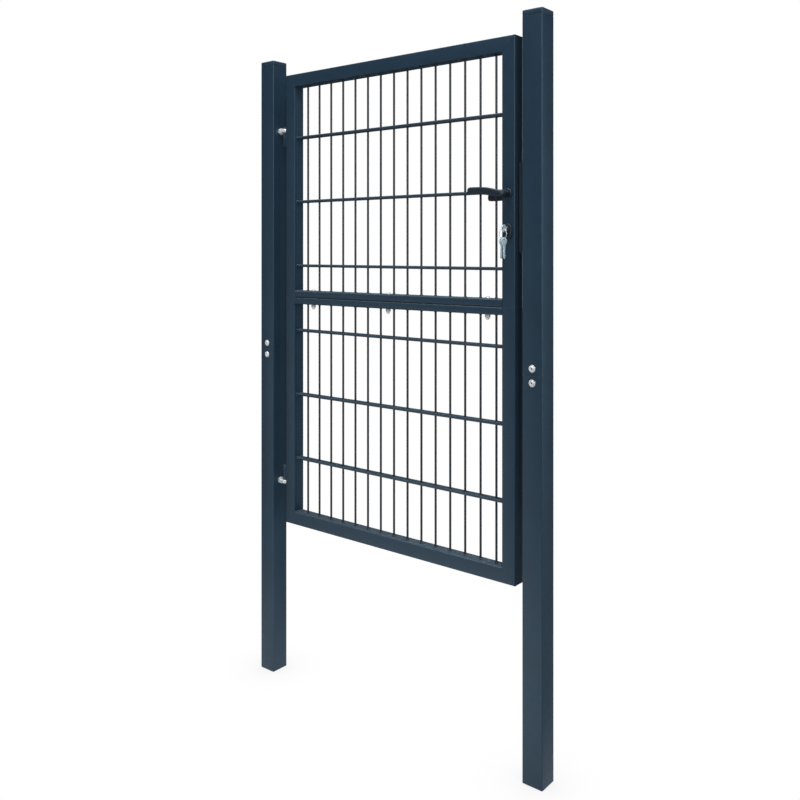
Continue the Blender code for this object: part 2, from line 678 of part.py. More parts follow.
def make_forend(axis):
    half = FOREND_HALF_WIDTH
    low, high = CASE_BOTTOM - FOREND_OVERHANG, CASE_TOP + FOREND_OVERHANG
    forend = box('lock_forend', (FOREND_X, -half, low), (FOREND_FACE_X, half, high))
    bolt_half = BOLT_HALF_THICKNESS + PLAY
    for name, bottom, height in (('latch', LATCH_BOTTOM, LATCH_HEIGHT),
                                 ('deadbolt', DEADBOLT_BOTTOM, DEADBOLT_HEIGHT)):
        cut(forend, box(name + '_opening', (FOREND_X - 0.01, -bolt_half, bottom - PLAY),
                        (FOREND_FACE_X + 0.01, bolt_half, bottom + height + PLAY)))
    for name, z in forend_screw_places():
        sink = [(0.0, 0.001), (FOREND_HEAD_RADIUS + GAP + 0.001, 0.001),
                (FOREND_SCREW_RADIUS + GAP, -0.0026), (FOREND_SCREW_RADIUS + GAP, -0.01), (0.0, -0.01)]
        cut(forend, turned(name + '_sink', sink, (FOREND_FACE_X, 0, z), (1, 0, 0), steps=16))
        screw = [(0.0, -0.0001), (FOREND_HEAD_RADIUS - GAP, -0.0001), (FOREND_SCREW_RADIUS, -0.0024),
                 (FOREND_SCREW_RADIUS, -0.0085), (0.0, -0.0085)]
        part(turned(name, screw, (FOREND_FACE_X, 0, z), (1, 0, 0), steps=16), ZINC, axis)
    part(forend, ZINC, axis)


def make_latch(axis):
    half = BOLT_HALF_THICKNESS
    tip = FOREND_FACE_X + LATCH_TRAVEL
    back = FOREND_FACE_X - LATCH_BODY
    top = LATCH_BOTTOM + LATCH_HEIGHT
    slope = 0.0085
    outline = [(back, -half), (tip - slope, -half), (tip, half - 0.002), (tip, half), (back, half)]
    latch = extruded('latch_bolt', (outline,), LATCH_HEIGHT)
    latch.location = (0, 0, LATCH_BOTTOM + LATCH_HEIGHT / 2)
    spring_lug_x = LEAF_RIGHT - SPRING_LUG_INSET
    join(latch,
         box('latch_lug', (back, -0.003, LATCH_BOTTOM - LATCH_LUG_DROP),
             (back + LATCH_LUG, 0.003, LATCH_BOTTOM + 0.002)),
         box('spring_lug', (spring_lug_x, -0.003, top - 0.002),
             (spring_lug_x + 0.003, 0.003, top + SPRING_LUG_RISE)))
    part(latch, NICKEL, axis)


def make_latch_spring(axis):
    """A compression spring from the back of the case to the latch's upper lug."""
    start = CASE_REAR_X + CASE_WALL + GAP + SPRING_WIRE_RADIUS
    end = LEAF_RIGHT - SPRING_LUG_INSET - GAP - SPRING_WIRE_RADIUS
    z = LATCH_BOTTOM + LATCH_HEIGHT + 0.0052
    steps = 10 * SPRING_TURNS
    curve = bpy.data.curves.new('latch_spring', 'CURVE')
    curve.dimensions = '3D'
    curve.bevel_depth = SPRING_WIRE_RADIUS
    curve.bevel_resolution = 1
    curve.use_fill_caps = True
    spline = curve.splines.new('POLY')
    spline.points.add(steps)
    for step, point in enumerate(spline.points):
        angle = 2 * math.pi * SPRING_TURNS * step / steps
        x = start + (end - start) * step / steps
        point.co = (x, SPRING_RADIUS * math.cos(angle), z + SPRING_RADIUS * math.sin(angle), 1.0)
    guide = new_object('latch_spring_path', curve)
    part(mesh_from_curve('latch_spring', guide), STEEL, axis)


def make_deadbolt(axis):
    half = BOLT_HALF_THICKNESS
    back = FOREND_FACE_X - DEADBOLT_BODY
    bolt = box('deadbolt', (back, -half, DEADBOLT_BOTTOM),
               (FOREND_FACE_X, half, DEADBOLT_BOTTOM + DEADBOLT_HEIGHT), bevel=0.0008)
    join(bolt, box('deadbolt_tail', (back + 0.001, -0.0025, DEADBOLT_TAIL_BOTTOM),
                   (back + DEADBOLT_TAIL, 0.0025, DEADBOLT_BOTTOM + 0.004)))
    part(bolt, NICKEL, axis)


def make_roses(axis):
    front = HALF_TUBE + GAP
    for label, sign in (('front', -1), ('rear', 1)):
        radius = LEVER_ROSE_RADIUS
        bore = LEVER_NECK_RADIUS + PLAY
        profile = [(bore, ROSE_THICKNESS), (radius - 0.0015, ROSE_THICKNESS), (radius, ROSE_THICKNESS - 0.0015),
                   (radius, 0.0), (bore, 0.0)]
        place = (LOCK_X, sign * front, LEVER_Z)
        rose = turned(f'{label}_lever_rose', profile, place, (0, sign, 0), steps=32, closed=True)
        part(rose, BLACK_PLASTIC, axis)
        hole = [(x, z) for x, z in profile_outline(GAP)]
        shield = extruded(f'{label}_cylinder_rose', (oval_outline(CYLINDER_ROSE_MARGIN), hole), ROSE_THICKNESS)
        face_y(shield, (LOCK_X, sign * (front + ROSE_THICKNESS / 2), KEY_Z))
        part(shield, BLACK_PLASTIC, axis)


def oval_outline(margin):
    """Two half circles round a profile cylinder, joined by straight sides."""
    radius = CYLINDER_RADIUS + margin
    foot = -(CYLINDER_DEPTH - CYLINDER_RADIUS)
    return arc((0, 0), radius, 0, 180, 16) + arc((0, foot), radius, 180, 360, 16)


def make_cylinder_body(axis):
    """The fixed body of the cylinder. Its rear plug, which the front key doesn't turn, is one with it."""
    end = CYLINDER_HALF_LENGTH
    body = profile_prism('cylinder_body', 0.0, -end, end)
    pocket_half = CAM_HALF_WIDTH + PLAY
    cut(body,
        cylinder('plug_bore', PLUG_RADIUS + GAP, (LOCK_X, -end - 0.01, KEY_Z), (LOCK_X, 0, KEY_Z)),
        box('cam_pocket', (LOCK_X - 0.02, -pocket_half, KEY_Z - CAM_POCKET),
            (LOCK_X + 0.02, pocket_half, KEY_Z + 0.02)),
        box('rear_keyway', (LOCK_X - 0.0012, end - 0.004, KEY_Z - 0.0045),
            (LOCK_X + 0.0012, end + 0.004, KEY_Z + 0.0045)))
    part(body, NICKEL, axis)


# ---------------------------------------------------------------- levers

def lever_outline(rise_at_tip):
    """A lever pointing to -X from its axis: a round boss, a bent neck and a grip with a round end."""
    boss = LEVER_NECK_RADIUS + 0.001
    tip_x = -(LEVER_LENGTH - LEVER_GRIP_HALF)
    neck_end = -0.050
    lower = []
    upper = []
    steps = 8
    for step in range(1, steps + 1):
        share = step / steps
        rise = rise_at_tip * share * share * (3 - 2 * share)
        half = boss + (LEVER_GRIP_HALF - boss) * share
        lower.append((neck_end * share, rise - half))
        upper.append((neck_end * share, rise + half))
    return (arc((0, 0), boss, -90, 90, 10) + upper
            + arc((tip_x, rise_at_tip), LEVER_GRIP_HALF, 90, 270, 12) + lower[::-1])


def make_lever(label, sign, rise, axis):
    """A lever whose neck goes over the spindle."""
    grip = extruded(f'{label}_lever', (lever_outline(rise),), LEVER_OUTER_Y - LEVER_INNER_Y)
    face_y(grip, (LOCK_X, sign * (LEVER_INNER_Y + LEVER_OUTER_Y) / 2, LEVER_Z))
    edge = grip.modifiers.new('round_edges', 'BEVEL')
    edge.width = LEVER_EDGE
    edge.segments = 2
    edge.limit_method = 'ANGLE'
    edge.angle_limit = math.radians(50)
    neck_start = HALF_TUBE + GAP + 0.0005
    neck = cylinder(f'{label}_neck', LEVER_NECK_RADIUS, (LOCK_X, sign * neck_start, LEVER_Z),
                    (LOCK_X, sign * (LEVER_INNER_Y + 0.004), LEVER_Z), sides=28)
    half = SPINDLE_WIDTH / 2 + GAP
    ends = sorted((0.0, sign * (SPINDLE_HALF_LENGTH + GAP)))
    socket = box(f'{label}_square_socket', (LOCK_X - half, ends[0], LEVER_Z - half),
                 (LOCK_X + half, ends[1], LEVER_Z + half))
    join(grip, neck)
    cut(grip, socket)
    part(grip, BLACK_PLASTIC, axis)


def make_lever_set(axis):
    make_lever('front', -1, FRONT_LEVER_RISE, axis)
    make_lever('rear', 1, REAR_LEVER_RISE, axis)
    half = SPINDLE_WIDTH / 2
    spindle = box('lever_spindle', (LOCK_X - half, -SPINDLE_HALF_LENGTH, LEVER_Z - half),
                  (LOCK_X + half, SPINDLE_HALF_LENGTH, LEVER_Z + half))
    part(spindle, STEEL, axis)
    make_follower(axis)


def make_follower(axis):
    """The lock's follower: a hub round the spindle with one arm, which leans towards the latch at rest."""
    hub_half = CASE_HALF_THICKNESS
    centre = Vector((LOCK_X, 0, LEVER_Z))
    hub = cylinder('follower', FOLLOWER_HUB_RADIUS, centre - Vector((0, hub_half, 0)),
                   centre + Vector((0, hub_half, 0)), sides=28)
    half = FOLLOWER_ARM_WIDTH / 2
    arm = box('follower_arm', (-half, -0.003, 0.006), (half, 0.003, FOLLOWER_ARM_LENGTH))
    lean = Matrix.Translation(centre) @ Matrix.Rotation(LEVER_TURN / 2, 4, 'Y')
    arm.matrix_world = lean @ Matrix.Translation(arm.location)
    square = SPINDLE_WIDTH / 2 + GAP
    join(hub, arm)
    cut(hub, box('follower_square', (LOCK_X - square, -0.02, LEVER_Z - square),
                 (LOCK_X + square, 0.02, LEVER_Z + square)))
    part(hub, STEEL, axis)


# ---------------------------------------------------------------- keys

def key_outline():
    """A key along -X: the hole's edge is separate, the bow is at the origin and the blade runs to -X."""
    half = KEY_BLADE_HEIGHT / 2
    meet = math.degrees(math.asin(half / KEY_BOW_RADIUS))
    length = KEY_BOW_RADIUS + KEY_BLADE_LENGTH
    blade = [(-length + half, -half), (-length, -0.001), (-length, 0.001), (-length + half, half)]
    bow = arc((0, 0), KEY_BOW_RADIUS, 180 - meet, -180 + meet, 24)
    return bow + blade


def key_blank(name, blade_length):
    """A flat key in its own XY plane, with its bow at the origin and its blade towards -X."""
    outline = [(max(x, -KEY_BOW_RADIUS - blade_length), y) for x, y in key_outline()]
    hole = arc((KEY_HOLE_OFFSET, 0), KEY_HOLE_RADIUS, 0, 345, 15)
    return extruded(name, (outline, hole), KEY_THICKNESS)


def make_key_in_lock(axis):
    key = key_blank('key', KEY_COLLAR + KEY_INSERTED)
    key.matrix_world = (Matrix.Translation((LOCK_X, BOW_Y, KEY_Z))
                        @ Matrix(((0, 0, 1, 0), (-1, 0, 0, 0), (0, -1, 0, 0), (0, 0, 0, 1))))
    part(key, NICKEL, axis)


def make_plug(axis):
    """The front plug with its keyway, and the cam that it turns, whose nose points down with the key upright."""
    front = -CYLINDER_HALF_LENGTH
    plug = cylinder('cylinder_plug', PLUG_RADIUS, (LOCK_X, front, KEY_Z), (LOCK_X, 0, KEY_Z), sides=28)
    cam = cylinder('cam', CAM_RADIUS, (LOCK_X, -CAM_HALF_WIDTH, KEY_Z), (LOCK_X, CAM_HALF_WIDTH, KEY_Z), sides=28)
    nose = box('cam_nose', (LOCK_X - CAM_NOSE_WIDTH / 2, -CAM_HALF_WIDTH, KEY_Z - CAM_NOSE),
               (LOCK_X + CAM_NOSE_WIDTH / 2, CAM_HALF_WIDTH, KEY_Z - 0.004))
    slot = KEY_THICKNESS / 2 + GAP
    height = KEY_BLADE_HEIGHT / 2 + GAP
    keyway = box('keyway', (LOCK_X - slot, front - 0.01, KEY_Z - height),
                 (LOCK_X + slot, front + KEY_INSERTED + 0.001, KEY_Z + height))
    join(plug, cam, nose)
    cut(plug, keyway)
    part(plug, BRASS, axis)


def make_key_ring(axis):
    """A ring through the key's bow, turned a little about the vertical."""
    centre = (LOCK_X, KEY_HOLE_Y, RING_TOP_Z - KEY_RING_RADIUS)
    facing = (math.sin(KEY_RING_TURN), -math.cos(KEY_RING_TURN), 0)
    section = arc((KEY_RING_RADIUS, 0), KEY_RING_WIRE, 90, -240, 11)
    ring = turned('key_ring', section, centre, facing, steps=36, closed=True)
    part(ring, NICKEL, axis)


def make_spare_keys(axis):
    """Two keys side by side at the bottom of the ring, whose blades hang down and a little apart."""
    ring_rise = (SPARE_KEY_SPREAD + KEY_THICKNESS / 2) ** 2 / (2 * KEY_RING_RADIUS)
    wire_z = RING_TOP_Z - 2 * KEY_RING_RADIUS + ring_rise
    hole_z = wire_z - (KEY_HOLE_RADIUS - KEY_RING_WIRE - 2 * GAP)
    for label, sign in (('one', -1), ('two', 1)):
        key = key_blank(f'spare_key_{label}', KEY_BLADE_LENGTH)
        place = (Matrix.Translation((LOCK_X, KEY_HOLE_Y, hole_z)) @ Matrix.Rotation(KEY_RING_TURN, 4, 'Z')
                 @ Matrix.Translation((sign * SPARE_KEY_SPREAD, 0, 0))
                 @ Matrix.Rotation(-sign * SPARE_KEY_SPLAY, 4, 'Y') @ Matrix.Translation((0, 0, -KEY_HOLE_OFFSET)))
        upright = Matrix(((0, 0, -1, 0), (0, 1, 0, 0), (1, 0, 0, 0), (0, 0, 0, 1)))
        key.matrix_world = place @ upright
        part(key, NICKEL, axis)


# ---------------------------------------------------------------- keep

def make_keep():
    """An angle on the lock post: a full front lip that stops the leaf, and a rear lip beside the deadbolt."""
    face = POST_INNER_X - GAP
    tip = POST_INNER_X - KEEP_LIP_DEPTH
    plate = box('keep', (face - KEEP_THICKNESS, -KEEP_HALF_WIDTH, KEEP_BOTTOM), (face, KEEP_HALF_WIDTH, KEEP_TOP))
    lip_outer = KEEP_LIP_Y + KEEP_THICKNESS
    join(plate,
         box('front_lip', (tip, -lip_outer, KEEP_BOTTOM), (face - 0.001, -KEEP_LIP_Y, KEEP_TOP)),
         box('rear_lip', (tip, KEEP_LIP_Y, DEADBOLT_BOTTOM - KEEP_REAR_MARGIN),
             (face - 0.001, lip_outer, DEADBOLT_BOTTOM + DEADBOLT_HEIGHT + KEEP_REAR_MARGIN)))
    for name, z in keep_screw_places():
        cut(plate, cylinder(f'keep_{name}_hole', KEEP_SCREW_RADIUS + GAP, (face - 0.01, 0, z), (face + 0.01, 0, z),
                            sides=16))
        profile = dome_profile(KEEP_HEAD_RADIUS, 0.0028, KEEP_SCREW_RADIUS, 0.014, steps=4)
        screw = turned(name, profile, (face - KEEP_THICKNESS - GAP, 0, z), (-1, 0, 0), steps=16)
        part(screw, ZINC)
    part(plate, ANTHRACITE)


# ---------------------------------------------------------------- assembly

def build_gate():
    leaf_axis = axis_empty('leaf_axis', (HINGE_X, 0, LEAF_SEAM_Z))
    lever_axis = axis_empty('lever_axis', (LOCK_X, 0, LEVER_Z))
    latch_guide = axis_empty('latch_guide', (FOREND_FACE_X, 0, LATCH_BOTTOM + LATCH_HEIGHT / 2))
    deadbolt_guide = axis_empty('deadbolt_guide', (FOREND_FACE_X, 0, DEADBOLT_BOTTOM + DEADBOLT_HEIGHT / 2))
    key_axis = axis_empty('key_axis', (LOCK_X, 0, KEY_Z))
    ring_axis = axis_empty('ring_axis', (LOCK_X, KEY_HOLE_Y, RING_TOP_Z))
    make_post('left', -POST_SPACING / 2)
    make_post('right', POST_SPACING / 2)
    make_hinge('upper', UPPER_HINGE_Z, 1, leaf_axis)
    make_hinge('lower', LOWER_HINGE_Z, -1, leaf_axis)
    make_keep()
    make_leaf_frame(leaf_axis)
    make_mesh_panels(leaf_axis)
    make_joint_bolts(leaf_axis)
    make_lock_case(leaf_axis)
    make_forend(leaf_axis)
    make_roses(leaf_axis)
    make_cylinder_body(leaf_axis)
    make_latch_spring(leaf_axis)
    make_latch(latch_guide)
    make_deadbolt(deadbolt_guide)
    make_lever_set(lever_axis)
    make_plug(key_axis)
    make_key_in_lock(key_axis)
    make_key_ring(ring_axis)
    make_spare_keys(ring_axis)


clear_scene()
GATE = new_collection('garden_gate')
CUTTERS = new_collection('cutters')
build_gate()
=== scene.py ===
"""The looks of the garden gate: fine pieces, finishes, light and camera for its CAD model."""

import json
import math

import bmesh
import bpy
from mathutils import Matrix, Vector, noise


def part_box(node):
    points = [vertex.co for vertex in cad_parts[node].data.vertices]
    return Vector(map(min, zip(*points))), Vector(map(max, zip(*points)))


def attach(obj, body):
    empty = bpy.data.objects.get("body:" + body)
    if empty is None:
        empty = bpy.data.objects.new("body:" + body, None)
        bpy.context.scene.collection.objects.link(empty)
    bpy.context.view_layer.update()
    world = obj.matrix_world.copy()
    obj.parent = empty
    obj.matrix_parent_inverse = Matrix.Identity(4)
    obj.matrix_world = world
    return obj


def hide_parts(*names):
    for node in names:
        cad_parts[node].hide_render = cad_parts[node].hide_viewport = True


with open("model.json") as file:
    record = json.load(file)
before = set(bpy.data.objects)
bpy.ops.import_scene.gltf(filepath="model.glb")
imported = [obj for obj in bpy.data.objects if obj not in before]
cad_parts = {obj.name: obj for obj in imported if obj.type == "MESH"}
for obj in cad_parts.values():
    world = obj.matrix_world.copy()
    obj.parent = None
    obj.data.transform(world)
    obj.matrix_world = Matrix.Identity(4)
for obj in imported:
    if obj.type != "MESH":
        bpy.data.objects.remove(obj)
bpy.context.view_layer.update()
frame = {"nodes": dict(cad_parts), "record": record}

# Camera
CAMERA_LOCATION = (1.6486, -1.9808, 1.3781)
CAMERA_HEADING = math.radians(39.10)
CAMERA_LENS = 39.234
CAMERA_SHIFT = -0.1869

# Sizes in metres that the CAD boxes don't give
PART_GAP = 0.0003                 # between parts that aren't joined
TUBE_WALL = 0.002
SHARPEST_CORNER = 0.0004
POST_WIDTH = 0.060
POST_RADIUS = 0.0034              # these three radii round the tubes' corners
FRAME_WIDTH = 0.040
FRAME_RADIUS = 0.0021
MID_RAIL_RADIUS = 0.0046
CAP_HEIGHT = 0.0147               # of the part that stands on the post
WIRE_COUNT = 15
WIRE_RADIUS = 0.0032
WIRE_PITCH = 0.0509
FIRST_WIRE_INSET = 0.0415         # from the hinge stile
ROD_RADIUS = 0.0044
ROD_OFFSET = 0.0073               # from the wires' plane, to each side
ROD_PITCH = 0.2057
RODS_PER_PANEL = 3
ROD_HEIGHTS = {"upper": 1.3292, "lower": 0.7098}        # of each panel's lowest pair
LEVER_RISES = {"front": 0.009, "rear": -0.004}
KEY_RING_TURN = math.radians(-12)
SPARE_KEY_SPREAD = 0.0036
SPARE_KEY_SPLAY = math.radians(2.5)
KEY_THICKNESS = 0.0022
KEY_BEVEL = 0.0003
KEY_BOW_RADIUS = 0.0105
KEY_BLADE_LENGTH = 0.0365
KEY_HOLE_OFFSET = 0.0045
KEY_HOLE_RADIUS = 0.0032
KEY_RING_WIRE = 0.0009
CYLINDER_RADIUS = 0.0085
CYLINDER_WEB_HALF = 0.0050
CYLINDER_WEB_DROP = 0.0195        # from the key's axis to the web's round end
CAM_SLOT_HALF = 0.0050
EYE_BOLT_RADIUS = 0.0060
EYE_BOLT_PITCH = 0.00175
EYE_NUT_HEIGHT = 0.010
FLAT_WELD = (0.0026, 0.00022)     # width and height of a bead
FILLET_WELD = (0.0042, 0.0012)
SLANT = 0.7071                    # each part of a unit vector at 45 degrees

WHITE = (1.0, 1.0, 1.0, 1.0)
# pale colour of dust and of a painted highlight on the faces that look up
DUST_AND_TOP_LIGHT = (0.15, 0.205, 0.245, 1.0)


# ---------------------------------------------------------------- finishes

def node(tree, kind, **inputs):
    """Add a shader node and set its sockets by name, with _ for a space."""
    made = tree.nodes.new(kind)
    for name, value in inputs.items():
        made.inputs[name.replace("_", " ")].default_value = value
    return made


def noise_map(tree, coordinates, scale, detail=2.0, stretch=None):
    if stretch is not None:
        mapping = node(tree, "ShaderNodeMapping", Scale=stretch)
        tree.links.new(coordinates, mapping.inputs["Vector"])
        coordinates = mapping.outputs["Vector"]
    made = node(tree, "ShaderNodeTexNoise", Scale=scale, Detail=detail)
    tree.links.new(coordinates, made.inputs["Vector"])
    return made.outputs["Fac"]


def spread(tree, factor, low, high, from_low=0.3, from_high=0.7):
    """Map a noise factor to a range of values."""
    made = node(tree, "ShaderNodeMapRange", From_Min=from_low, From_Max=from_high,
                To_Min=low, To_Max=high)
    tree.links.new(factor, made.inputs["Value"])
    return made.outputs["Result"]


def mix_colours(tree, factor, first, second):
    """Mix two colours. A Mix node has several sockets of each name, so they go by number."""
    made = tree.nodes.new("ShaderNodeMix")
    made.data_type = 'RGBA'
    for index, value in ((0, factor), (6, first), (7, second)):
        socket = made.inputs[index]
        if isinstance(value, bpy.types.NodeSocket):
            tree.links.new(value, socket)
        else:
            socket.default_value = value
    return made.outputs[2]


def tint(colour, share):
    return (*(min(1.0, channel * share) for channel in colour), 1.0)


def finish(name, colour, roughness, metallic=0.0, *, grain, grain_depth, variation=0.08,
           rough_spread=0.05, stretch=None, gloss_tint=WHITE, top_dust_and_light=0.0):
    """A material whose colour, roughness and surface all vary a little at their own scales."""
    material = bpy.data.materials.new(name)
    material.use_nodes = True
    tree = material.node_tree
    shader = tree.nodes["Principled BSDF"]
    shader.inputs["Metallic"].default_value = metallic
    shader.inputs["Specular Tint"].default_value = gloss_tint
    coordinates = tree.nodes.new("ShaderNodeTexCoord").outputs["Object"]
    broad = noise_map(tree, coordinates, scale=9.0, detail=3.0)
    shown = mix_colours(tree, spread(tree, broad, 0.0, 1.0), tint(colour, 1 - variation),
                        tint(colour, 1 + variation))
    # partly dust, partly a painted highlight: faces that look up are made paler as if lit from
    # above
    if top_dust_and_light:
        shown = dust_and_top_light(tree, shown, coordinates, top_dust_and_light)
    tree.links.new(shown, shader.inputs["Base Color"])
    smear = noise_map(tree, coordinates, scale=60.0, detail=4.0, stretch=stretch)
    tree.links.new(spread(tree, smear, roughness - rough_spread, roughness + rough_spread),
                   shader.inputs["Roughness"])
    bump = node(tree, "ShaderNodeBump", Strength=1.0, Distance=grain_depth)
    grains = noise_map(tree, coordinates, scale=grain, stretch=stretch)
    tree.links.new(grains, bump.inputs["Height"])
    tree.links.new(bump.outputs["Normal"], shader.inputs["Normal"])
    return material


def dust_and_top_light(tree, colour, coordinates, amount):
    """Lay a pale colour, in patches, on the faces that look up: partly dust, partly a painted
    highlight that makes tops lighter as if lit from above.
    """
    normal = tree.nodes.new("ShaderNodeNewGeometry").outputs["Normal"]
    parts = tree.nodes.new("ShaderNodeSeparateXYZ")
    tree.links.new(normal, parts.inputs["Vector"])
    facing_up = spread(tree, parts.outputs["Z"], 0.0, 1.0, from_low=0.15, from_high=0.60)
    blotches = noise_map(tree, coordinates, scale=140.0, detail=4.0)
    patches = spread(tree, blotches, 0.4 * amount, amount)
    share = node(tree, "ShaderNodeMath")
    share.operation = 'MULTIPLY'
    tree.links.new(facing_up, share.inputs[0])
    tree.links.new(patches, share.inputs[1])
    return mix_colours(tree, share.outputs[0], colour, DUST_AND_TOP_LIGHT)


PAINT = finish("anthracite_powder_coat", (0.0135, 0.0350, 0.0620), 0.44, grain=520.0,
               grain_depth=0.00002, gloss_tint=(0.74, 0.90, 1.0, 1.0), top_dust_and_light=0.50)
WIRE_PAINT = finish("wire_powder_coat", (0.0150, 0.0215, 0.0285), 0.42, grain=200.0,
                    grain_depth=0.000004, top_dust_and_light=0.30)
ROD_PAINT = finish("rod_powder_coat", (0.0120, 0.0330, 0.0580), 0.34, grain=200.0,
                   grain_depth=0.000004, top_dust_and_light=0.35)
# lighter than the posts' paint: painted light that makes up for the shade on the cap's skirt
CAP_PLASTIC = finish("cap_plastic", (0.0165, 0.0430, 0.0760), 0.44, grain=1300.0,
                     grain_depth=0.00001, top_dust_and_light=0.15)
ZINC = finish("bright_zinc", (0.82, 0.86, 0.89), 0.30, 0.35, grain=1400.0, grain_depth=0.000003,
              rough_spread=0.06)
BLACK = finish("black_plastic", (0.0055, 0.0145, 0.0275), 0.50, grain=1500.0, grain_depth=0.000004,
               top_dust_and_light=0.20)
STEEL = finish("plain_steel", (0.10, 0.105, 0.11), 0.45, 0.9, stretch=(1.0, 1.0, 14.0),
               variation=0.12, grain=500.0, grain_depth=0.000002)
# a steel darkened as painted shade, for the parts in the gap between the leaf and the right post
GAP_SHADE_STEEL = finish("gap_shade_steel", (0.010, 0.023, 0.036), 0.55, 0.1, stretch=(1.0, 1.0, 14.0),
                    variation=0.12, grain=500.0, grain_depth=0.000002)
NICKEL = finish("nickel_plate", (0.68, 0.86, 0.93), 0.24, 0.35, grain=1600.0, grain_depth=0.000001,
                variation=0.04)
# nickel made very dark, so the cylinder's face shows dark
DARK_NICKEL = finish("dark_nickel", (0.009, 0.016, 0.023), 0.46, 0.3, grain=1600.0,
                   grain_depth=0.000002, variation=0.10)
# a brass darkened almost to black, so the plug's face shows dark
BRASS = finish("plug_brass", (0.034, 0.033, 0.028), 0.42, 0.6, grain=1500.0, grain_depth=0.000003)


# ---------------------------------------------------------------- building shapes

def aim(start, end):
    """The matrix that puts local Z on the line from start to end."""
    start, end = Vector(start), Vector(end)
    turn = (end - start).to_track_quat('Z', 'Y').to_matrix().to_4x4()
    return Matrix.Translation(start) @ turn


def turns(steps):
    """Even steps of angle round a full turn."""
    return [2 * math.pi * step / steps for step in range(steps)]


def polar(place, radius, angle, height):
    """A point given by its distance, angle and height on the Z axis of a place."""
    return place @ Vector((radius * math.cos(angle), radius * math.sin(angle), height))


def circle(place, radius, height, steps):
    return [polar(place, radius, angle, height) for angle in turns(steps)]


def add_loft(shape, loops, closed=False):
    """Join loops of equal length by faces. Open lofts get end faces."""
    rings = [[shape.verts.new(point) for point in loop] for loop in loops]
    pairs = list(zip(rings, rings[1:]))
    if closed:
        pairs.append((rings[-1], rings[0]))
    for first, second in pairs:
        count = len(first)
        for index in range(count):
            after = (index + 1) % count
            shape.faces.new((first[index], first[after], second[after], second[index]))
    if not closed:
        shape.faces.new(rings[0][::-1])
        shape.faces.new(rings[-1])


def add_lathe(shape, profile, place, steps=32, closed=False):
    """Turn a profile of (radius, height) round the Z axis of a place."""
    rings = []
    for radius, height in profile:
        if radius < 0.000001:
            rings.append([shape.verts.new(place @ Vector((0, 0, height)))])
            continue
        rings.append([shape.verts.new(point) for point in circle(place, radius, height, steps)])
    pairs = list(zip(rings, rings[1:]))
    if closed:
        pairs.append((rings[-1], rings[0]))
    for first, second in pairs:
        for index in range(steps):
            after = (index + 1) % steps
            corners = (first[index % len(first)], first[after % len(first)],
                       second[after % len(second)], second[index % len(second)])
            shape.faces.new(dict.fromkeys(corners))


def add_rod(shape, start, end, radius, steps):
    length = (Vector(end) - Vector(start)).length
    add_lathe(shape, [(0, length), (radius, length), (radius, 0), (0, 0)], aim(start, end), steps)


def add_blob(shape, centre, size, seed):
    """A rough drop of weld, given by its half sizes."""
    made = bmesh.ops.create_icosphere(shape, subdivisions=2, radius=1.0)
    for vertex in made["verts"]:
        direction = vertex.co.copy()
        swell = 1 + 0.16 * noise.noise(direction * 2.1 + Vector((seed * 3.7, seed * 1.3, seed)))
        offset = Vector([part * half * swell for part, half in zip(direction, size)])
        vertex.co = Vector(centre) + offset


def arc(centre, radius, first, last, steps):
    points = []
    for step in range(steps + 1):
        angle = math.radians(first + (last - first) * step / steps)
        points.append((centre[0] + radius * math.cos(angle), centre[1] + radius * math.sin(angle)))
    return points


def oval_arc(centre, radii, angles):
    """Points at angles in degrees on an ellipse."""
    return [(centre[0] + radii[0] * math.cos(math.radians(angle)),
             centre[1] + radii[1] * math.sin(math.radians(angle))) for angle in angles]


def rounded_rectangle(half_x, half_y, radius, steps=6):
    points = []
    for quarter, (sign_x, sign_y) in enumerate(((1, 1), (-1, 1), (-1, -1), (1, -1))):
        centre = (sign_x * (half_x - radius), sign_y * (half_y - radius))
        points += arc(centre, radius, 90 * quarter, 90 * quarter + 90, steps)
    return points


def piece(name, shape, material, body, nodes=(), smooth=35):
    """Make an object of a shape, which rides on a body and stands for CAD nodes."""
    bmesh.ops.recalc_face_normals(shape, faces=shape.faces)
    mesh = bpy.data.meshes.new(name)
    shape.to_mesh(mesh)
    shape.free()
    obj = bpy.data.objects.new(name, mesh)
    bpy.context.scene.collection.objects.link(obj)
    mesh.shade_smooth()
    mesh.set_sharp_from_angle(angle=math.radians(smooth))
    mesh.materials.append(material)
    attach(obj, body)
    if nodes:
        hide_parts(*nodes)
    return obj


# ---------------------------------------------------------------- tubes

def add_square_tube(shape, place, size_x, size_y, radius, length, low_mitre=0, high_mitre=0,
                    edge=0.0004):
    """A hollow tube along the Z axis of a place, with fine rounded ends."""
    def loop(inset, z, mitre, direction):
        points = []
        corner = max(radius - inset, SHARPEST_CORNER)
        for x, y in rounded_rectangle(size_x / 2 - inset, size_y / 2 - inset, corner):
            slope = (mitre * x - abs(mitre) * size_x / 2) * direction
            points.append(place @ Vector((x, y, z + slope)))
        return points
    loops = [loop(edge, 0, low_mitre, -1), loop(0, edge, low_mitre, -1),
             loop(0, length - edge, high_mitre, 1), loop(edge, length, high_mitre, 1),
             loop(TUBE_WALL - edge / 2, length, high_mitre, 1),
             loop(TUBE_WALL, length - edge / 2, high_mitre, 1),
             loop(TUBE_WALL, edge / 2, low_mitre, -1), loop(TUBE_WALL - edge / 2, 0, low_mitre, -1)]
    add_loft(shape, loops, closed=True)


def upright(node_name):
    """Place and length of an upright tube from its CAD box."""
    low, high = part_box(node_name)
    return Matrix.Translation(((low.x + high.x) / 2, 0, low.z)), high.z - low.z


def make_posts():
    for side in ("left", "right"):
        for level in ("lower", "upper"):
            name = f"{side}_post_{level}"
            place, length = upright(name)
            shape = bmesh.new()
            add_square_tube(shape, place, POST_WIDTH, POST_WIDTH, POST_RADIUS, length)
            piece(name + "_tube", shape, PAINT, "posts", (name,))
        make_cap(side)
        for level in ("lower", "upper"):
            make_splice_screw(f"{side}_post_screw_{level}")


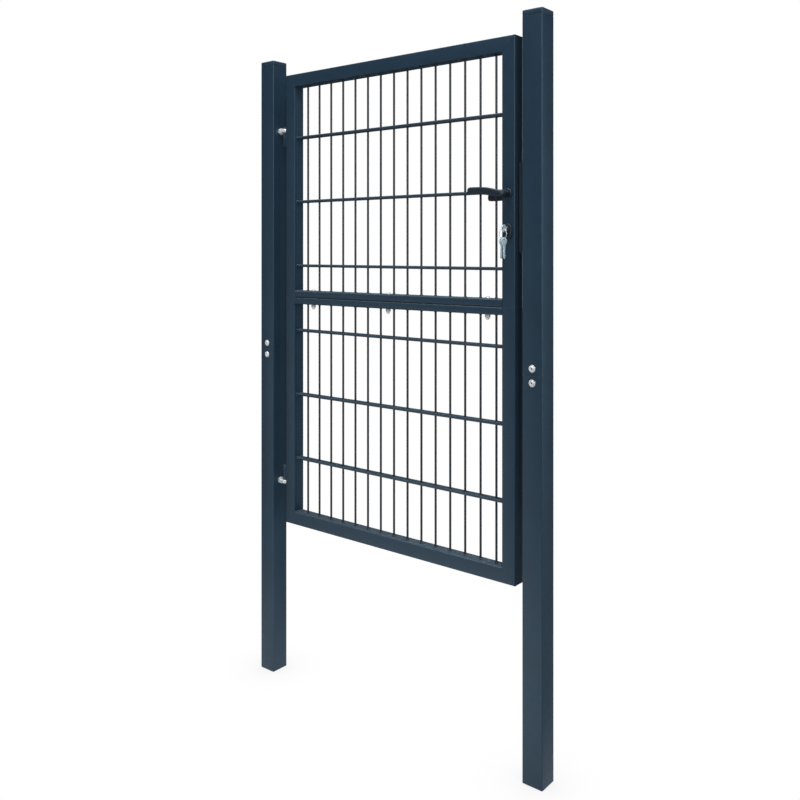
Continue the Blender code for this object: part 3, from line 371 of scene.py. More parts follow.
def make_cap(side):
    """A pressed-in cap with a shallow bevelled top and a thin seam where it meets the post."""
    name = f"{side}_post_cap"
    low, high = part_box(name)
    centre = (low + high) / 2
    bottom = high.z - CAP_HEIGHT
    shape = bmesh.new()
    loops = []
    for inset, z in ((0.0035, bottom - 0.010), (0.0025, bottom), (0.0008, bottom + 0.0002),
                     (0.0, bottom + 0.0012), (0.0, high.z - 0.0030), (0.0004, high.z - 0.0013),
                     (0.0012, high.z - 0.0004), (0.0024, high.z)):
        half = POST_WIDTH / 2 - inset
        outline = rounded_rectangle(half, half, max(POST_RADIUS - inset * 0.3, 0.001))
        loops.append([Vector((centre.x + x, y, z)) for x, y in outline])
    add_loft(shape, loops)
    piece(name + "_cover", shape, CAP_PLASTIC, "posts", (name,), smooth=50)


def make_splice_screw(name):
    """A button-head screw with a collar, a socket and a rounded dome."""
    low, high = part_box(name)
    centre = (low + high) / 2
    face_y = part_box("left_post_lower")[0].y
    place = aim((centre.x, face_y, centre.z), (centre.x, face_y - 1, centre.z))
    radius, height = (high.x - low.x) / 2, 0.0046
    mouth, dome, collar = 0.0031, radius * 0.74, 0.0013
    profile = [(0.0, -0.0050), (0.0026, -0.0048), (0.0027, height - 0.0005), (mouth, height)]
    for angle in range(70, -1, -10):
        profile.append((mouth + (dome - mouth) * math.cos(math.radians(angle)),
                        collar + (height - collar) * math.sin(math.radians(angle)) ** 0.8))
    profile += [(radius - 0.0004, 0.0012), (radius, 0.0008), (radius, 0.0002),
                (radius - 0.0003, 0.0), (0.004, 0.0), (0.004, -0.012), (0.0, -0.012)]
    shape = bmesh.new()
    add_lathe(shape, profile, place, 40)
    piece(name + "_head", shape, ZINC, "posts", (name,), smooth=40)


def make_leaf_frame():
    """Rounded tubes for the leaf. The stile that holds the lock keeps its CAD shape."""
    for level, low_mitre, high_mitre in (("upper", 0, 1), ("lower", 1, 0)):
        for side, sign in (("hinge", -1), ("lock", 1)):
            name = f"{side}_stile_{level}"
            if name == "lock_stile_upper":
                continue
            place, length = upright(name)
            shape = bmesh.new()
            add_square_tube(shape, place, FRAME_WIDTH, FRAME_WIDTH, FRAME_RADIUS, length,
                            low_mitre * sign, high_mitre * sign, edge=0.0002)
            piece(name + "_tube", shape, PAINT, "leaf", (name,))
    for name, mitre in (("top_rail", -1), ("bottom_rail", 1),
                        ("mid_rail_upper", 0), ("mid_rail_lower", 0)):
        low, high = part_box(name)
        shape = bmesh.new()
        place = aim((low.x, 0, (low.z + high.z) / 2), (high.x, 0, (low.z + high.z) / 2))
        turned = place @ Matrix.Rotation(rail_roll(place), 4, 'Z')
        radius = FRAME_RADIUS if mitre else MID_RAIL_RADIUS
        add_square_tube(shape, turned, high.z - low.z, FRAME_WIDTH, radius, high.x - low.x,
                        mitre, mitre, edge=0.0002)
        piece(name + "_tube", shape, PAINT, "leaf", (name,))
    make_frame_welds()


def rail_roll(place):
    """The angle that turns a rail's local +X to point down."""
    down = place.to_3x3().inverted() @ Vector((0, 0, -1))
    return math.atan2(down.y, down.x)


def add_bead(shape, start, end, normal, width, height, seed):
    """A shallow weld bead on a face, with gentle ripples."""
    start, end, normal = Vector(start), Vector(end), Vector(normal)
    along = (end - start).normalized()
    across = along.cross(normal)
    length = (end - start).length
    steps = max(6, int(length / 0.0012))
    loops = []
    for step in range(steps + 1):
        share = step / steps
        ripple = (1 + 0.22 * math.sin(step * 2.1 + seed)
                  + 0.15 * noise.noise(Vector((step * 0.5, seed, 0))))
        fade = min(1.0, 4 * share, 4 * (1 - share)) ** 0.5 + 0.02
        centre = start + along * length * share
        loop = []
        for angle in (0, 30, 60, 90, 120, 150, 180):
            side = across * (width / 2 * fade * math.cos(math.radians(angle)))
            rise = normal * (height * ripple * fade * math.sin(math.radians(angle)))
            loop.append(centre + side + rise)
        loop += [centre - across * (width / 3 * fade) - normal * 0.0004,
                 centre + across * (width / 3 * fade) - normal * 0.0004]
        loops.append(loop)
    add_loft(shape, loops)


def make_frame_welds():
    """Flat-ground welds on the mitres, and fillets in the corners and at the middle rails' ends."""
    half = FRAME_WIDTH / 2
    reach = half - TUBE_WALL
    for level, rail in (("upper", "top_rail"), ("lower", "bottom_rail")):
        low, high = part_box(rail)
        shape = bmesh.new()
        rail_inner, rail_outer = (low.z, high.z) if level == "upper" else (high.z, low.z)
        for outer_x, inner_x in ((low.x, low.x + FRAME_WIDTH), (high.x, high.x - FRAME_WIDTH)):
            for y in (-half, half):
                add_bead(shape, (outer_x, y, rail_outer), (inner_x, y, rail_inner),
                         (0, math.copysign(1, y), 0), *FLAT_WELD, outer_x * 9 + y * 30)
            add_bead(shape, (inner_x, -reach, rail_inner), (inner_x, reach, rail_inner),
                     (math.copysign(SLANT, -inner_x), 0, SLANT if level == "lower" else -SLANT),
                     *FILLET_WELD, outer_x)
        mid_low, mid_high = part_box(f"mid_rail_{level}")
        edge_z = mid_high.z if level == "upper" else mid_low.z
        lift = SLANT if level == "upper" else -SLANT
        for x in (mid_low.x, mid_high.x):
            add_bead(shape, (x, -reach, edge_z), (x, reach, edge_z),
                     (math.copysign(SLANT, -x), 0, lift), *FILLET_WELD, x * 7)
        piece(f"{level}_frame_welds", shape, PAINT, "leaf", smooth=60)


# ---------------------------------------------------------------- mesh panels

def make_mesh_panels():
    """Upright wires with a pair of rods at each crossing height, one on either side of them."""
    for level in ("upper", "lower"):
        name = f"{level}_mesh_panel"
        low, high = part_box(name)
        wires, rods = bmesh.new(), bmesh.new()
        first_x = low.x - PART_GAP + FIRST_WIRE_INSET
        wire_xs = [first_x + index * WIRE_PITCH for index in range(WIRE_COUNT)]
        rod_zs = [ROD_HEIGHTS[level] + index * ROD_PITCH for index in range(RODS_PER_PANEL)]
        for index, x in enumerate(wire_xs):
            add_rod(wires, (x, 0, low.z), (x, 0, high.z), WIRE_RADIUS, 16)
            for z, sign in ((low.z, 1), (high.z, -1)):
                add_blob(wires, (x, 0, z + sign * 0.0008), (0.0048, 0.0048, 0.0024), index + z)
        for row, z in enumerate(rod_zs):
            for y in (-ROD_OFFSET, ROD_OFFSET):
                add_rod(rods, (low.x, y, z), (high.x, y, z), ROD_RADIUS, 24)
                for x, sign in ((low.x, 1), (high.x, -1)):
                    add_blob(rods, (x + sign * 0.0010, y, z), (0.0024, 0.0058, 0.0058),
                             row + x + y * 50)
            for x in wire_xs:
                add_blob(rods, (x, 0, z), (0.0042, 0.0046, 0.0040), x + z)
        piece(name + "_wires", wires, WIRE_PAINT, "leaf", (name,), smooth=60)
        piece(name + "_rods", rods, ROD_PAINT, "leaf", smooth=60)


# ---------------------------------------------------------------- bolts and hinges

def thread_profile_radius(phase, major, depth):
    """Radius of a screw thread at a phase of its pitch."""
    rise = 1 - abs(2 * phase - 1)
    return major - depth * min(1.0, max(0.0, (rise - 0.1) / 0.8))


def add_thread(shape, place, start, end, major, pitch, steps=28):
    """A threaded shank along the Z axis of a place, with bevelled ends."""
    depth = 0.6 * pitch
    count = int((end - start) / pitch * 6)
    loops = []
    for row in range(count + 1):
        z = start + (end - start) * row / count
        taper = min(depth, z - start, end - z)
        loop = []
        for step, angle in enumerate(turns(steps)):
            phase = (z / pitch - step / steps) % 1.0
            radius = min(thread_profile_radius(phase, major, depth), major - depth + taper)
            loop.append(polar(place, radius, angle, z))
        loops.append(loop)
    add_loft(shape, loops)


def add_hex_nut(shape, place, width, height, bore):
    """A hexagonal nut from 0 to its height, its corners cut by 30 degree cones."""
    corner = width / math.sqrt(3)
    inset = corner - width / 2 * 0.98
    drop = inset * 0.577
    bevel = 0.0007
    side = math.radians(60)
    steps = 48

    def ring(limit, z):
        points = []
        for angle in turns(steps):
            flat = width / 2 / math.cos((angle + side / 2) % side - side / 2)
            points.append(polar(place, min(flat, limit), angle, z))
        return points

    loops = [circle(place, bore + bevel, 0, steps), ring(corner - inset, 0),
             ring(corner - inset / 2, drop / 2), ring(corner, drop), ring(corner, height - drop),
             ring(corner - inset / 2, height - drop / 2), ring(corner - inset, height),
             circle(place, bore + bevel, height, steps), circle(place, bore, height - bevel, steps),
             circle(place, bore, bevel, steps)]
    add_loft(shape, loops, closed=True)


def make_hinges():
    for level, sign in (("upper", 1), ("lower", -1)):
        make_eye_bolt(level)
        make_hinge_pin(level, sign)


def make_eye_bolt(level):
    """A forged eye on a neck, whose threaded shank goes through the post between two nuts."""
    name = f"{level}_eye_bolt"
    low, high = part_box(name)
    z = (low.z + high.z) / 2
    eye_radius = (high.y - low.y) / 2
    eye_x = high.x - eye_radius
    half = 0.0055
    shape = bmesh.new()
    profile = [(0.0062, half - 0.0006), (0.0068, half), (eye_radius - 0.0022, half)]
    rim = 0.0018
    bulge = (half - 0.0010) / math.sin(math.radians(75))
    profile += oval_arc((eye_radius - rim, 0.0), (rim, bulge), range(75, -76, -15))
    profile += [(eye_radius - 0.0022, -half), (0.0068, -half), (0.0062, -half + 0.0006)]
    add_lathe(shape, profile, Matrix.Translation((eye_x, 0, z)), 48, closed=True)
    place = aim((0, 0, z), (1, 0, z))
    post_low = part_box("left_post_lower")[0].x
    post_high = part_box("left_post_lower")[1].x
    add_loft(shape, [circle(place, radius, x, 28)
                     for radius, x in ((0.0054, post_high + 0.004), (0.0058, post_high + 0.010),
                                       (0.0056, eye_x - 0.0125), (0.0050, eye_x - 0.0075))])
    add_thread(shape, place, low.x, post_high + 0.0085, EYE_BOLT_RADIUS, EYE_BOLT_PITCH)
    piece(name + "_shank", shape, ZINC, "posts", (name,), smooth=50)
    for where, x in (("inner", post_high + PART_GAP),
                     ("outer", post_low - PART_GAP - EYE_NUT_HEIGHT)):
        nut = bmesh.new()
        nut_place = aim((x, 0, z), (x + 1, 0, z))
        add_hex_nut(nut, nut_place, 0.019, EYE_NUT_HEIGHT, 0.0061)
        nut_name = f"{name}_{where}_nut"
        piece(nut_name + "_hex", nut, ZINC, "posts", (nut_name,), smooth=30)


def make_hinge_pin(level, sign):
    """A turned pin on a plate that is welded to the leaf's edge."""
    name = f"{level}_hinge_pin"
    low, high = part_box(name)
    eye_low, eye_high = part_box(f"{level}_eye_bolt")
    eye_z = (eye_low.z + eye_high.z) / 2
    x = eye_high.x - (eye_high.y - eye_low.y) / 2
    shoulder = 0.0065
    foot = abs((low.z if sign > 0 else high.z) - eye_z)
    tip = abs((high.z if sign > 0 else low.z) - eye_z)
    place = aim((x, 0, eye_z), (x, 0, eye_z + sign))
    profile = [(0.0, tip), (0.0042, tip), (0.0056, tip - 0.0006), (0.0060, tip - 0.0018),
               (0.0060, -shoulder + 0.0004), (0.0064, -shoulder), (0.0069, -shoulder),
               (0.0075, -shoulder - 0.0006), (0.0075, -foot + 0.0010),
               (0.0068, -foot), (0.0, -foot)]
    shape = bmesh.new()
    add_lathe(shape, profile, place, 36)
    ends = sorted((eye_z - sign * (shoulder + 0.001), eye_z - sign * (foot - 0.001)))
    outline = rounded_rectangle((high.x - x) / 2, 0.005, 0.0008, 2)
    centre_x = (x + high.x) / 2
    add_loft(shape, [[Vector((centre_x + px, py, z)) for px, py in outline] for z in ends])
    for y in (-0.0050, 0.0050):
        plate_x = high.x - 0.0004
        add_bead(shape, (plate_x, y, ends[0] + 0.002), (plate_x, y, ends[1] - 0.002),
                 (-SLANT, math.copysign(SLANT, y), 0), 0.0050, 0.0016, y * 100)
        pin_x, pin_y = x + 0.0062, y * 0.86
        add_bead(shape, (pin_x, pin_y, ends[0] + 0.003), (pin_x, pin_y, ends[1] - 0.003),
                 (0.5, math.copysign(0.866, y), 0), 0.0040, 0.0012, y * 70)
    piece(name + "_welded", shape, PAINT, "leaf", (name,), smooth=45)


def make_joint_bolts():
    for label in ("left", "middle", "right"):
        name = f"joint_bolt_{label}"
        low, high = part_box(name)
        x = (low.x + high.x) / 2
        head_height = 0.0044
        seat = high.z - head_height
        shape = bmesh.new()
        profile = [(0.0, 0.0030), (0.0018, 0.0031), (0.0022, 0.0042), (0.0027, head_height)]
        profile += oval_arc((0.0027, 0.0010), (0.0043, 0.0034), range(60, -1, -12))
        profile += [(0.0070, 0.0002), (0.0067, 0.0),
                    (0.0040, 0.0), (0.0040, -0.0500), (0.0, -0.0500)]
        add_lathe(shape, profile, Matrix.Translation((x, 0, seat)), 32)
        piece(name + "_head", shape, ZINC, "leaf", (name,), smooth=45)
        make_cap_nut(f"cap_nut_{label}")


def make_cap_nut(name):
    """A domed nut under the middle rails, hexagonal where a spanner takes it."""
    low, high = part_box(name)
    centre = (low + high) / 2
    shape = bmesh.new()
    place = aim((centre.x, 0, high.z), (centre.x, 0, high.z - 1))
    add_hex_nut(shape, place, 0.013, 0.0085, 0.0042)
    profile = [(0.0, 0.0070), (0.0060, 0.0070), (0.0060, 0.0087)]
    profile += oval_arc((0.0, 0.0087), (0.0060, 0.0067), range(10, 81, 10))
    profile.append((0.0, 0.0155))
    add_lathe(shape, profile, place, 32)
    piece(name + "_acorn", shape, ZINC, "leaf", (name,), smooth=40)


# ---------------------------------------------------------------- levers and lock

def superellipse(half_u, half_v, power):
    points = []
    for angle in turns(28):
        c, s = math.cos(angle), math.sin(angle)
        points.append((half_u * math.copysign(abs(c) ** (2 / power), c),
                       half_v * math.copysign(abs(s) ** (2 / power), s)))
    return points


def smooth_path(points, per_span):
    """Catmull-Rom points through rows of numbers."""
    rows = [points[0]] + list(points) + [points[-1]]
    made = []
    for index in range(1, len(rows) - 2):
        before, first, second, after = rows[index - 1:index + 3]
        for step in range(per_span):
            t = step / per_span
            made.append([0.5 * (2 * b + (c - a) * t + (2 * a - 5 * b + 4 * c - d) * t ** 2
                                + (3 * b - a - 3 * c + d) * t ** 3)
                         for a, b, c, d in zip(before, first, second, after)])
    made.append(list(points[-1]))
    return made


LEVER_ROWS = (
    # distance towards the hinges, distance from the leaf's middle, share of the rise, half height,
    # half thickness, squareness
    (0.0000, 0.0212, 0.00, 0.0090, 0.0090, 2.0),
    (0.0000, 0.0310, 0.00, 0.0088, 0.0088, 2.0),
    (0.0006, 0.0390, 0.00, 0.0090, 0.0084, 2.2),
    (0.0045, 0.0462, 0.02, 0.0093, 0.0074, 2.6),
    (0.0130, 0.0496, 0.06, 0.0096, 0.0062, 3.0),
    (0.0240, 0.0503, 0.24, 0.0099, 0.0057, 3.4),
    (0.0370, 0.0504, 0.56, 0.0101, 0.0055, 3.6),
    (0.0520, 0.0504, 0.82, 0.0102, 0.0055, 3.6),
    (0.0700, 0.0504, 0.95, 0.0102, 0.0055, 3.6),
    (0.0880, 0.0504, 1.00, 0.0101, 0.0054, 3.6),
    (0.0990, 0.0503, 1.02, 0.0098, 0.0052, 3.4),
    (0.1040, 0.0503, 1.02, 0.0088, 0.0047, 3.0),
    (0.1066, 0.0503, 1.02, 0.0064, 0.0037, 2.6),
    (0.1076, 0.0503, 1.02, 0.0022, 0.0016, 2.2),
)


def make_lever(label, sign):
    low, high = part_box("lever_spindle")
    axis_x, axis_z = (low.x + high.x) / 2, (low.z + high.z) / 2
    rows = smooth_path(LEVER_ROWS, 5)
    rise = LEVER_RISES[label]
    centres = [Vector((axis_x - row[0], sign * row[1], axis_z + rise * row[2])) for row in rows]
    loops = []
    for index, (centre, row) in enumerate(zip(centres, rows)):
        before = centres[max(index - 1, 0)]
        after = centres[min(index + 1, len(centres) - 1)]
        along = (after - before).normalized()
        up = (Vector((0, 0, 1)) - along * along.z).normalized()
        side = along.cross(up)
        loops.append([centre + up * v + side * u for u, v in superellipse(row[4], row[3], row[5])])
    shape = bmesh.new()
    add_loft(shape, loops)
    piece(f"{label}_lever_handle", shape, BLACK, "levers", (f"{label}_lever",),
          smooth=60)


def make_lever_rose(label, sign):
    name = f"{label}_lever_rose"
    low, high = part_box(name)
    centre = (low + high) / 2
    radius = (high.x - low.x) / 2
    inner_y = (FRAME_WIDTH / 2 + PART_GAP) * sign
    place = aim((centre.x, inner_y, centre.z), (centre.x, inner_y + sign, centre.z))
    shape = bmesh.new()
    profile = [(0.0095, 0.0), (radius, 0.0), (radius, 0.0030), (radius - 0.0004, 0.0040),
               (radius - 0.0014, 0.0048), (radius - 0.0026, 0.0050), (0.0104, 0.0050),
               (0.0100, 0.0047), (0.0095, 0.0044)]
    add_lathe(shape, profile, place, 56, closed=True)
    piece(name + "_moulding", shape, BLACK, "leaf", (name,), smooth=40)


def cylinder_outline(margin, steps=20):
    """The outline of a profile cylinder in X and Z about its key axis."""
    radius = CYLINDER_RADIUS + margin
    half = CYLINDER_WEB_HALF + margin
    meet = math.degrees(math.asin(half / radius))
    return (arc((0, 0), radius, -90 + meet, 270 - meet, steps)
            + arc((0, -CYLINDER_WEB_DROP), half, 180, 360, 10))


def oval_outline(margin):
    """The outline of the rose round the cylinder, about the key's axis."""
    radius = CYLINDER_RADIUS + margin
    return arc((0, 0), radius, 0, 180, 24) + arc((0, -0.0160), radius, 180, 360, 24)


def make_cylinder_rose(label, sign):
    name = f"{label}_cylinder_rose"
    low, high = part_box(name)
    axis_x = (low.x + high.x) / 2
    key_z = high.z - (high.x - low.x) / 2
    back, face = FRAME_WIDTH / 2 + PART_GAP, 0.0253

    def raised(outline, depth):
        return [Vector((axis_x + x, sign * depth, key_z + z)) for x, z in outline]

    loops = [raised(oval_outline(margin), depth) for margin, depth in
             ((0.0045, back), (0.0045, 0.0233), (0.0041, 0.0243), (0.0031, 0.0251), (0.0019, face))]
    opening = resampled_profile(PART_GAP, loops[0], axis_x, key_z)
    loops += [raised(opening, face), raised(opening, back)]
    shape = bmesh.new()
    add_loft(shape, loops, closed=True)
    piece(name + "_moulding", shape, BLACK, "leaf", (name,), smooth=40)


def resampled_profile(margin, oval, axis_x, key_z):
    """Points of the profile outline that lie towards each point of an oval round it."""
    outline = cylinder_outline(margin, 60)
    spine_low, spine_high = -0.0180, 0.0
    points = []
    for point in oval:
        x, z = point.x - axis_x, point.z - key_z
        centre_z = min(max(z, spine_low), spine_high)
        target = math.atan2(z - centre_z, x)
        if spine_low < z < spine_high:
            centre_z = z
            target = 0.0 if x > 0 else math.pi

        def miss(candidate):
            angle = math.atan2(candidate[1] - centre_z, candidate[0])
            return abs(math.remainder(angle - target, 2 * math.pi))

        points.append(min(outline, key=miss))
    return points


def make_cylinder():
    """The profile cylinder's fixed body on both sides of its cam, and its two plugs' faces."""
    low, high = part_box("cylinder_body")
    axis_x = (low.x + high.x) / 2
    key_z = high.z - CYLINDER_RADIUS
    edge = 0.0003
    shape = bmesh.new()
    for front, back in ((low.y, -CAM_SLOT_HALF), (CAM_SLOT_HALF, high.y)):
        loops = []
        for y, inset in ((front, edge), (front + edge, 0.0), (back - edge, 0.0), (back, edge)):
            loops.append([Vector((axis_x + x, y, key_z + z)) for x, z in cylinder_outline(-inset)])
        add_loft(shape, loops)
    piece("cylinder_shell", shape, DARK_NICKEL, "leaf", ("cylinder_body",), smooth=35)
    make_plug(axis_x, key_z, low.y, -1, "turned_key", "front_plug_face")
    make_plug(axis_x, key_z, high.y, 1, "leaf", "rear_plug_face")


def make_plug(axis_x, key_z, face_y, sign, body, name):
    """A plug's face, slightly proud of the cylinder, with a turned groove."""
    place = aim((axis_x, face_y, key_z), (axis_x, face_y + sign, key_z))
    shape = bmesh.new()
    profile = [(0.0, 0.0004), (0.0044, 0.0004), (0.0047, 0.0001), (0.0050, 0.0004),
               (0.0057, 0.0004), (0.0060, 0.0001), (0.0060, -0.0037), (0.0, -0.0037)]
    add_lathe(shape, profile, place, 40)
    piece(name, shape, BRASS, body, smooth=35)


# ---------------------------------------------------------------- keys

def key_outline(blade):
    """A key in its own plane: bow at the origin, blade towards -X, with cuts on one edge."""
    half = 0.0040
    collar = 0.0048
    cut_pitch = 0.0042
    meet = math.degrees(math.asin(collar / KEY_BOW_RADIUS))
    top = arc((0, 0), KEY_BOW_RADIUS, 180 - meet, -180 + meet, 40)
    shoulder = -KEY_BOW_RADIUS - 0.0030
    end = -KEY_BOW_RADIUS - blade
    lower = [(shoulder, -collar), (shoulder, -half), (end + 0.0040, -half),
             (end + 0.0010, -half + 0.0026), (end, -0.0004)]
    cuts = [(end + 0.0014, 0.0012), (end + 0.0028, half - 0.0016)]
    position = end + cut_pitch
    for depth in (0.0021, 0.0012, 0.0026, 0.0016, 0.0023):
        if position > shoulder - 0.0060:
            break
        cuts += [(position, half - depth), (position + 0.0014, half - depth),
                 (position + 0.0028, half - 0.0006)]
        position += cut_pitch
    return top + lower + cuts + [(shoulder - 0.0012, half), (shoulder, half), (shoulder, collar)]


def make_key(name, place, blade, body, node_name):
    """A flat key with a rounded bow, a punched hole and a rib along each side of its blade."""
    curve = bpy.data.curves.new(name, 'CURVE')
    curve.dimensions = '2D'
    curve.fill_mode = 'BOTH'
    curve.extrude = 0.00078
    curve.bevel_depth = KEY_BEVEL
    curve.bevel_resolution = 2
    curve.offset = -KEY_BEVEL
    hole = arc((KEY_HOLE_OFFSET, 0.0), KEY_HOLE_RADIUS, 0, 345, 23)
    for outline in (key_outline(blade), hole):
        spline = curve.splines.new('POLY')
        spline.points.add(len(outline) - 1)
        for point, (x, y) in zip(spline.points, outline):
            point.co = (x, y, 0.0, 1.0)
        spline.use_cyclic_u = True
    guide = bpy.data.objects.new(name + "_guide", curve)
    bpy.context.scene.collection.objects.link(guide)
    graph = bpy.context.evaluated_depsgraph_get()
    shape = bmesh.new()
    mesh = bpy.data.meshes.new_from_object(guide.evaluated_get(graph))
    shape.from_mesh(mesh)
    bpy.data.meshes.remove(mesh)
    bpy.data.objects.remove(guide)
    bmesh.ops.remove_doubles(shape, verts=shape.verts, dist=0.000001)
    end = -KEY_BOW_RADIUS - blade
    for side in (-1, 1):
        add_bead(shape, (end + 0.0030, 0.0004, side * 0.00100), (-0.0135, 0.0004, side * 0.00100),
                 (0, 0, side), 0.0016, 0.00022, 1.0)
    bmesh.ops.transform(shape, matrix=place, verts=shape.verts)
    piece(name, shape, NICKEL, body, (node_name,), smooth=30)


def make_keys():
    """The key in the lock, its blade along +Y, and a ring with two keys hanging from its bow."""
    low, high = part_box("key")
    axis_x, key_z = (low.x + high.x) / 2, (low.z + high.z) / 2
    bow_y = low.y + KEY_BOW_RADIUS
    lying = Matrix(((0, 0, 1, 0), (-1, 0, 0, 0), (0, -1, 0, 0), (0, 0, 0, 1)))
    make_key("key_in_lock", Matrix.Translation((axis_x, bow_y, key_z)) @ lying,
             high.y - bow_y - KEY_BOW_RADIUS, "turned_key", "key")
    hanging = Matrix(((0, 0, -1, 0), (0, 1, 0, 0), (1, 0, 0, 0), (0, 0, 0, 1)))
    low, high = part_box("key_ring")
    centre = (low + high) / 2
    ring_radius = (high.z - low.z) / 2 - KEY_RING_WIRE
    wire_rise = (SPARE_KEY_SPREAD + KEY_THICKNESS / 2) ** 2 / (2 * ring_radius)
    hole_z = low.z + KEY_RING_WIRE + wire_rise - (KEY_HOLE_RADIUS - KEY_RING_WIRE - 2 * PART_GAP)
    for label, sign in (("one", -1), ("two", 1)):
        place = (Matrix.Translation((centre.x, centre.y, hole_z))
                 @ Matrix.Rotation(KEY_RING_TURN, 4, 'Z')
                 @ Matrix.Translation((sign * SPARE_KEY_SPREAD, 0, 0))
                 @ Matrix.Rotation(-sign * SPARE_KEY_SPLAY, 4, 'Y')
                 @ Matrix.Translation((0, 0, -KEY_HOLE_OFFSET)) @ hanging)
        make_key(f"spare_key_{label}_cut", place, KEY_BLADE_LENGTH, "hanging_keys",
                 f"spare_key_{label}")
    make_split_ring()


def make_split_ring():
    """A split ring: two turns of flattened wire lying against each other."""
    low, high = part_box("key_ring")
    centre = (low + high) / 2
    radius = (high.z - low.z) / 2 - KEY_RING_WIRE
    along = Vector((math.cos(KEY_RING_TURN), math.sin(KEY_RING_TURN), 0))
    through = Vector((-along.y, along.x, 0))
    width, thickness = 0.00080, 0.00038
    steps = 128
    loops = []
    for step in range(steps + 1):
        share = step / steps
        angle = 4 * math.pi * share + 1.2
        drift = 0.00040 * (1 - 2 * share)
        across = along * math.cos(angle) + Vector((0, 0, math.sin(angle)))
        middle = centre + across * radius + through * drift
        taper = min(1.0, 30 * share, 30 * (1 - share)) * 0.6 + 0.4
        loops.append([middle + (across * (width * math.cos(a))
                                + through * (thickness * math.sin(a))) * taper for a in turns(10)])
    shape = bmesh.new()
    add_loft(shape, loops)
    piece("key_ring_coil", shape, NICKEL, "hanging_keys", ("key_ring",), smooth=60)


# ---------------------------------------------------------------- light, floor and camera

def make_stage():
    """A plain white floor that glows. What it sends to other surfaces fades away from the gate; the
    camera sees it white, with a painted contact shadow where ambient occlusion finds things close
    by.
    """
    mesh = bpy.data.meshes.new("floor")
    half = 40
    corners = [(-half, -half, 0), (half, -half, 0), (half, half, 0), (-half, half, 0)]
    mesh.from_pydata(corners, [], [(0, 1, 2, 3)])
    floor = bpy.data.objects.new("floor", mesh)
    bpy.context.scene.collection.objects.link(floor)
    material = bpy.data.materials.new("white_floor")
    material.use_nodes = True
    tree = material.node_tree
    tree.nodes.remove(tree.nodes["Principled BSDF"])
    seen = tree.nodes.new("ShaderNodeEmission")
    # painted contact shadow: the camera's white is darkened where ambient occlusion finds things
    # close by
    contact_shadow = node(tree, "ShaderNodeAmbientOcclusion", Distance=0.16)
    contact_shadow.samples = 8
    tree.links.new(spread(tree, contact_shadow.outputs["AO"], 0.86, 1.0, from_low=0.35, from_high=1.0),
                   seen.inputs["Strength"])
    glow = node(tree, "ShaderNodeEmission", Color=(0.96, 0.98, 0.98, 1.0))
    total = tree.nodes.new("ShaderNodeMath")
    total.operation = 'ADD'
    wide = fading_glow(tree, (0.0, 0.0, 0.0), near=0.4, far=4.5, strength=0.25, rest=0.03)
    patch = fading_glow(tree, (-0.1, -0.75, 0.0), near=0.3, far=1.6, strength=0.90, rest=0.0)
    tree.links.new(wide, total.inputs[0])
    tree.links.new(patch, total.inputs[1])
    tree.links.new(total.outputs[0], glow.inputs["Strength"])
    split_by_camera(tree, glow, seen, tree.nodes["Material Output"])
    mesh.materials.append(material)


def fading_glow(tree, centre, near, far, strength, rest):
    """A strength that falls from one value to another between two distances from a centre."""
    distance = tree.nodes.new("ShaderNodeVectorMath")
    distance.operation = 'DISTANCE'
    distance.inputs[1].default_value = centre
    tree.links.new(tree.nodes.new("ShaderNodeTexCoord").outputs["Object"], distance.inputs[0])
    fade = node(tree, "ShaderNodeMapRange", From_Min=near, From_Max=far,
                To_Min=strength, To_Max=rest)
    fade.interpolation_type = 'SMOOTHERSTEP'
    tree.links.new(distance.outputs["Value"], fade.inputs["Value"])
    return fade.outputs["Result"]


def split_by_camera(tree, others, camera, output):
    """Show one shader to the camera and another to every other ray."""
    chooser = tree.nodes.new("ShaderNodeMixShader")
    path = tree.nodes.new("ShaderNodeLightPath")
    tree.links.new(path.outputs["Is Camera Ray"], chooser.inputs["Fac"])
    tree.links.new(others.outputs[0], chooser.inputs[1])
    tree.links.new(camera.outputs[0], chooser.inputs[2])
    tree.links.new(chooser.outputs["Shader"], output.inputs["Surface"])


def add_softbox(name, location, size, power, mirrored=True):
    """A soft light aimed at the middle of the gate, which the camera doesn't see."""
    light = bpy.data.lights.new(name, 'AREA')
    light.shape = 'RECTANGLE'
    light.size, light.size_y = size
    light.energy = power
    obj = bpy.data.objects.new(name, light)
    bpy.context.scene.collection.objects.link(obj)
    obj.location = location
    towards = Vector((0, 0, 1.1)) - Vector(location)
    obj.rotation_euler = towards.to_track_quat('-Z', 'Y').to_euler()
    obj.visible_camera = False
    obj.visible_glossy = mirrored


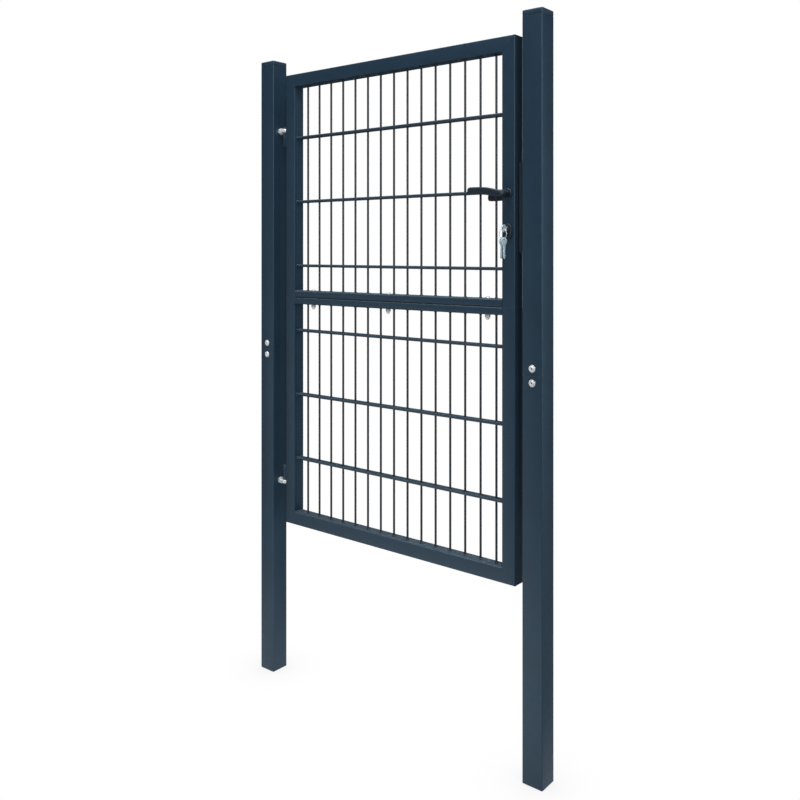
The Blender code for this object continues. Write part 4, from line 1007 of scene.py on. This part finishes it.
def make_lights():
    """Softboxes to the right, above, on the left and behind the gate, in a dim white studio."""
    add_softbox("right_softbox", (3.8, -3.2, 2.6), (2.2, 2.6), 125.0)
    add_softbox("edge_softbox", (1.75, 0.55, 1.2), (0.7, 1.8), 9.3)
    add_softbox("top_softbox", (0.2, -0.9, 4.4), (2.4, 2.0), 108.0)
    add_softbox("top_rear_softbox", (0.3, 0.9, 4.2), (2.4, 2.0), 12.0)
    add_softbox("left_low_softbox", (-1.3, -1.7, 0.5), (1.0, 0.8), 3.6)
    add_softbox("left_softbox", (-1.6, -1.6, 1.3), (0.8, 1.6), 2.4)
    add_softbox("rear_softbox", (-2.6, 4.0, 1.4), (2.2, 2.6), 125.0, mirrored=False)
    world = bpy.data.worlds.new("studio")
    bpy.context.scene.world = world
    world.use_nodes = True
    tree = world.node_tree
    around = tree.nodes["Background"]
    around.inputs["Color"].default_value = WHITE
    around.inputs["Strength"].default_value = 0.057
    backdrop = node(tree, "ShaderNodeBackground", Color=WHITE)
    split_by_camera(tree, around, backdrop, tree.nodes["World Output"])


def make_camera():
    camera = bpy.data.cameras.new("camera")
    camera.lens = CAMERA_LENS
    camera.sensor_width = 36.0
    camera.shift_y = CAMERA_SHIFT
    obj = bpy.data.objects.new("camera", camera)
    bpy.context.scene.collection.objects.link(obj)
    obj.location = CAMERA_LOCATION
    obj.rotation_euler = (math.radians(90), 0, CAMERA_HEADING)
    bpy.context.scene.camera = obj
    bpy.context.scene.view_settings.view_transform = 'Standard'


CARRIED_OVER = {
    "anthracite_paint": PAINT, "wire_paint": WIRE_PAINT, "zinc_plate": ZINC,
    "black_plastic": BLACK, "steel": STEEL, "nickel": NICKEL, "brass": BRASS,
}


# parts in the gap by the right post, darkened as painted shade
GAP_SHADE_NODES = (
    "lock_forend", "latch_bolt", "deadbolt", "forend_screw_upper", "forend_screw_lower",
    "keep", "keep_screw_upper", "keep_screw_lower",
)


def finish_cad_nodes():
    """Give the CAD nodes their finishes, darker ones to the lock's edge, its bolts and the keep: a
    painted shade for the gap between the leaf and the right post.
    """
    slots = {entry["node"]: entry["material_slot"] for entry in frame["record"]["subparts"]}
    for name, obj in frame["nodes"].items():
        obj.data.materials.clear()
        in_gap_shade = name in GAP_SHADE_NODES
        obj.data.materials.append(GAP_SHADE_STEEL if in_gap_shade else CARRIED_OVER[slots[name]])


make_camera()
make_lights()
make_stage()
finish_cad_nodes()
make_posts()
make_leaf_frame()
make_mesh_panels()
make_hinges()
make_joint_bolts()
for lever_label, lever_sign in (("front", -1), ("rear", 1)):
    make_lever(lever_label, lever_sign)
    make_lever_rose(lever_label, lever_sign)
    make_cylinder_rose(lever_label, lever_sign)
make_cylinder()
make_keys()
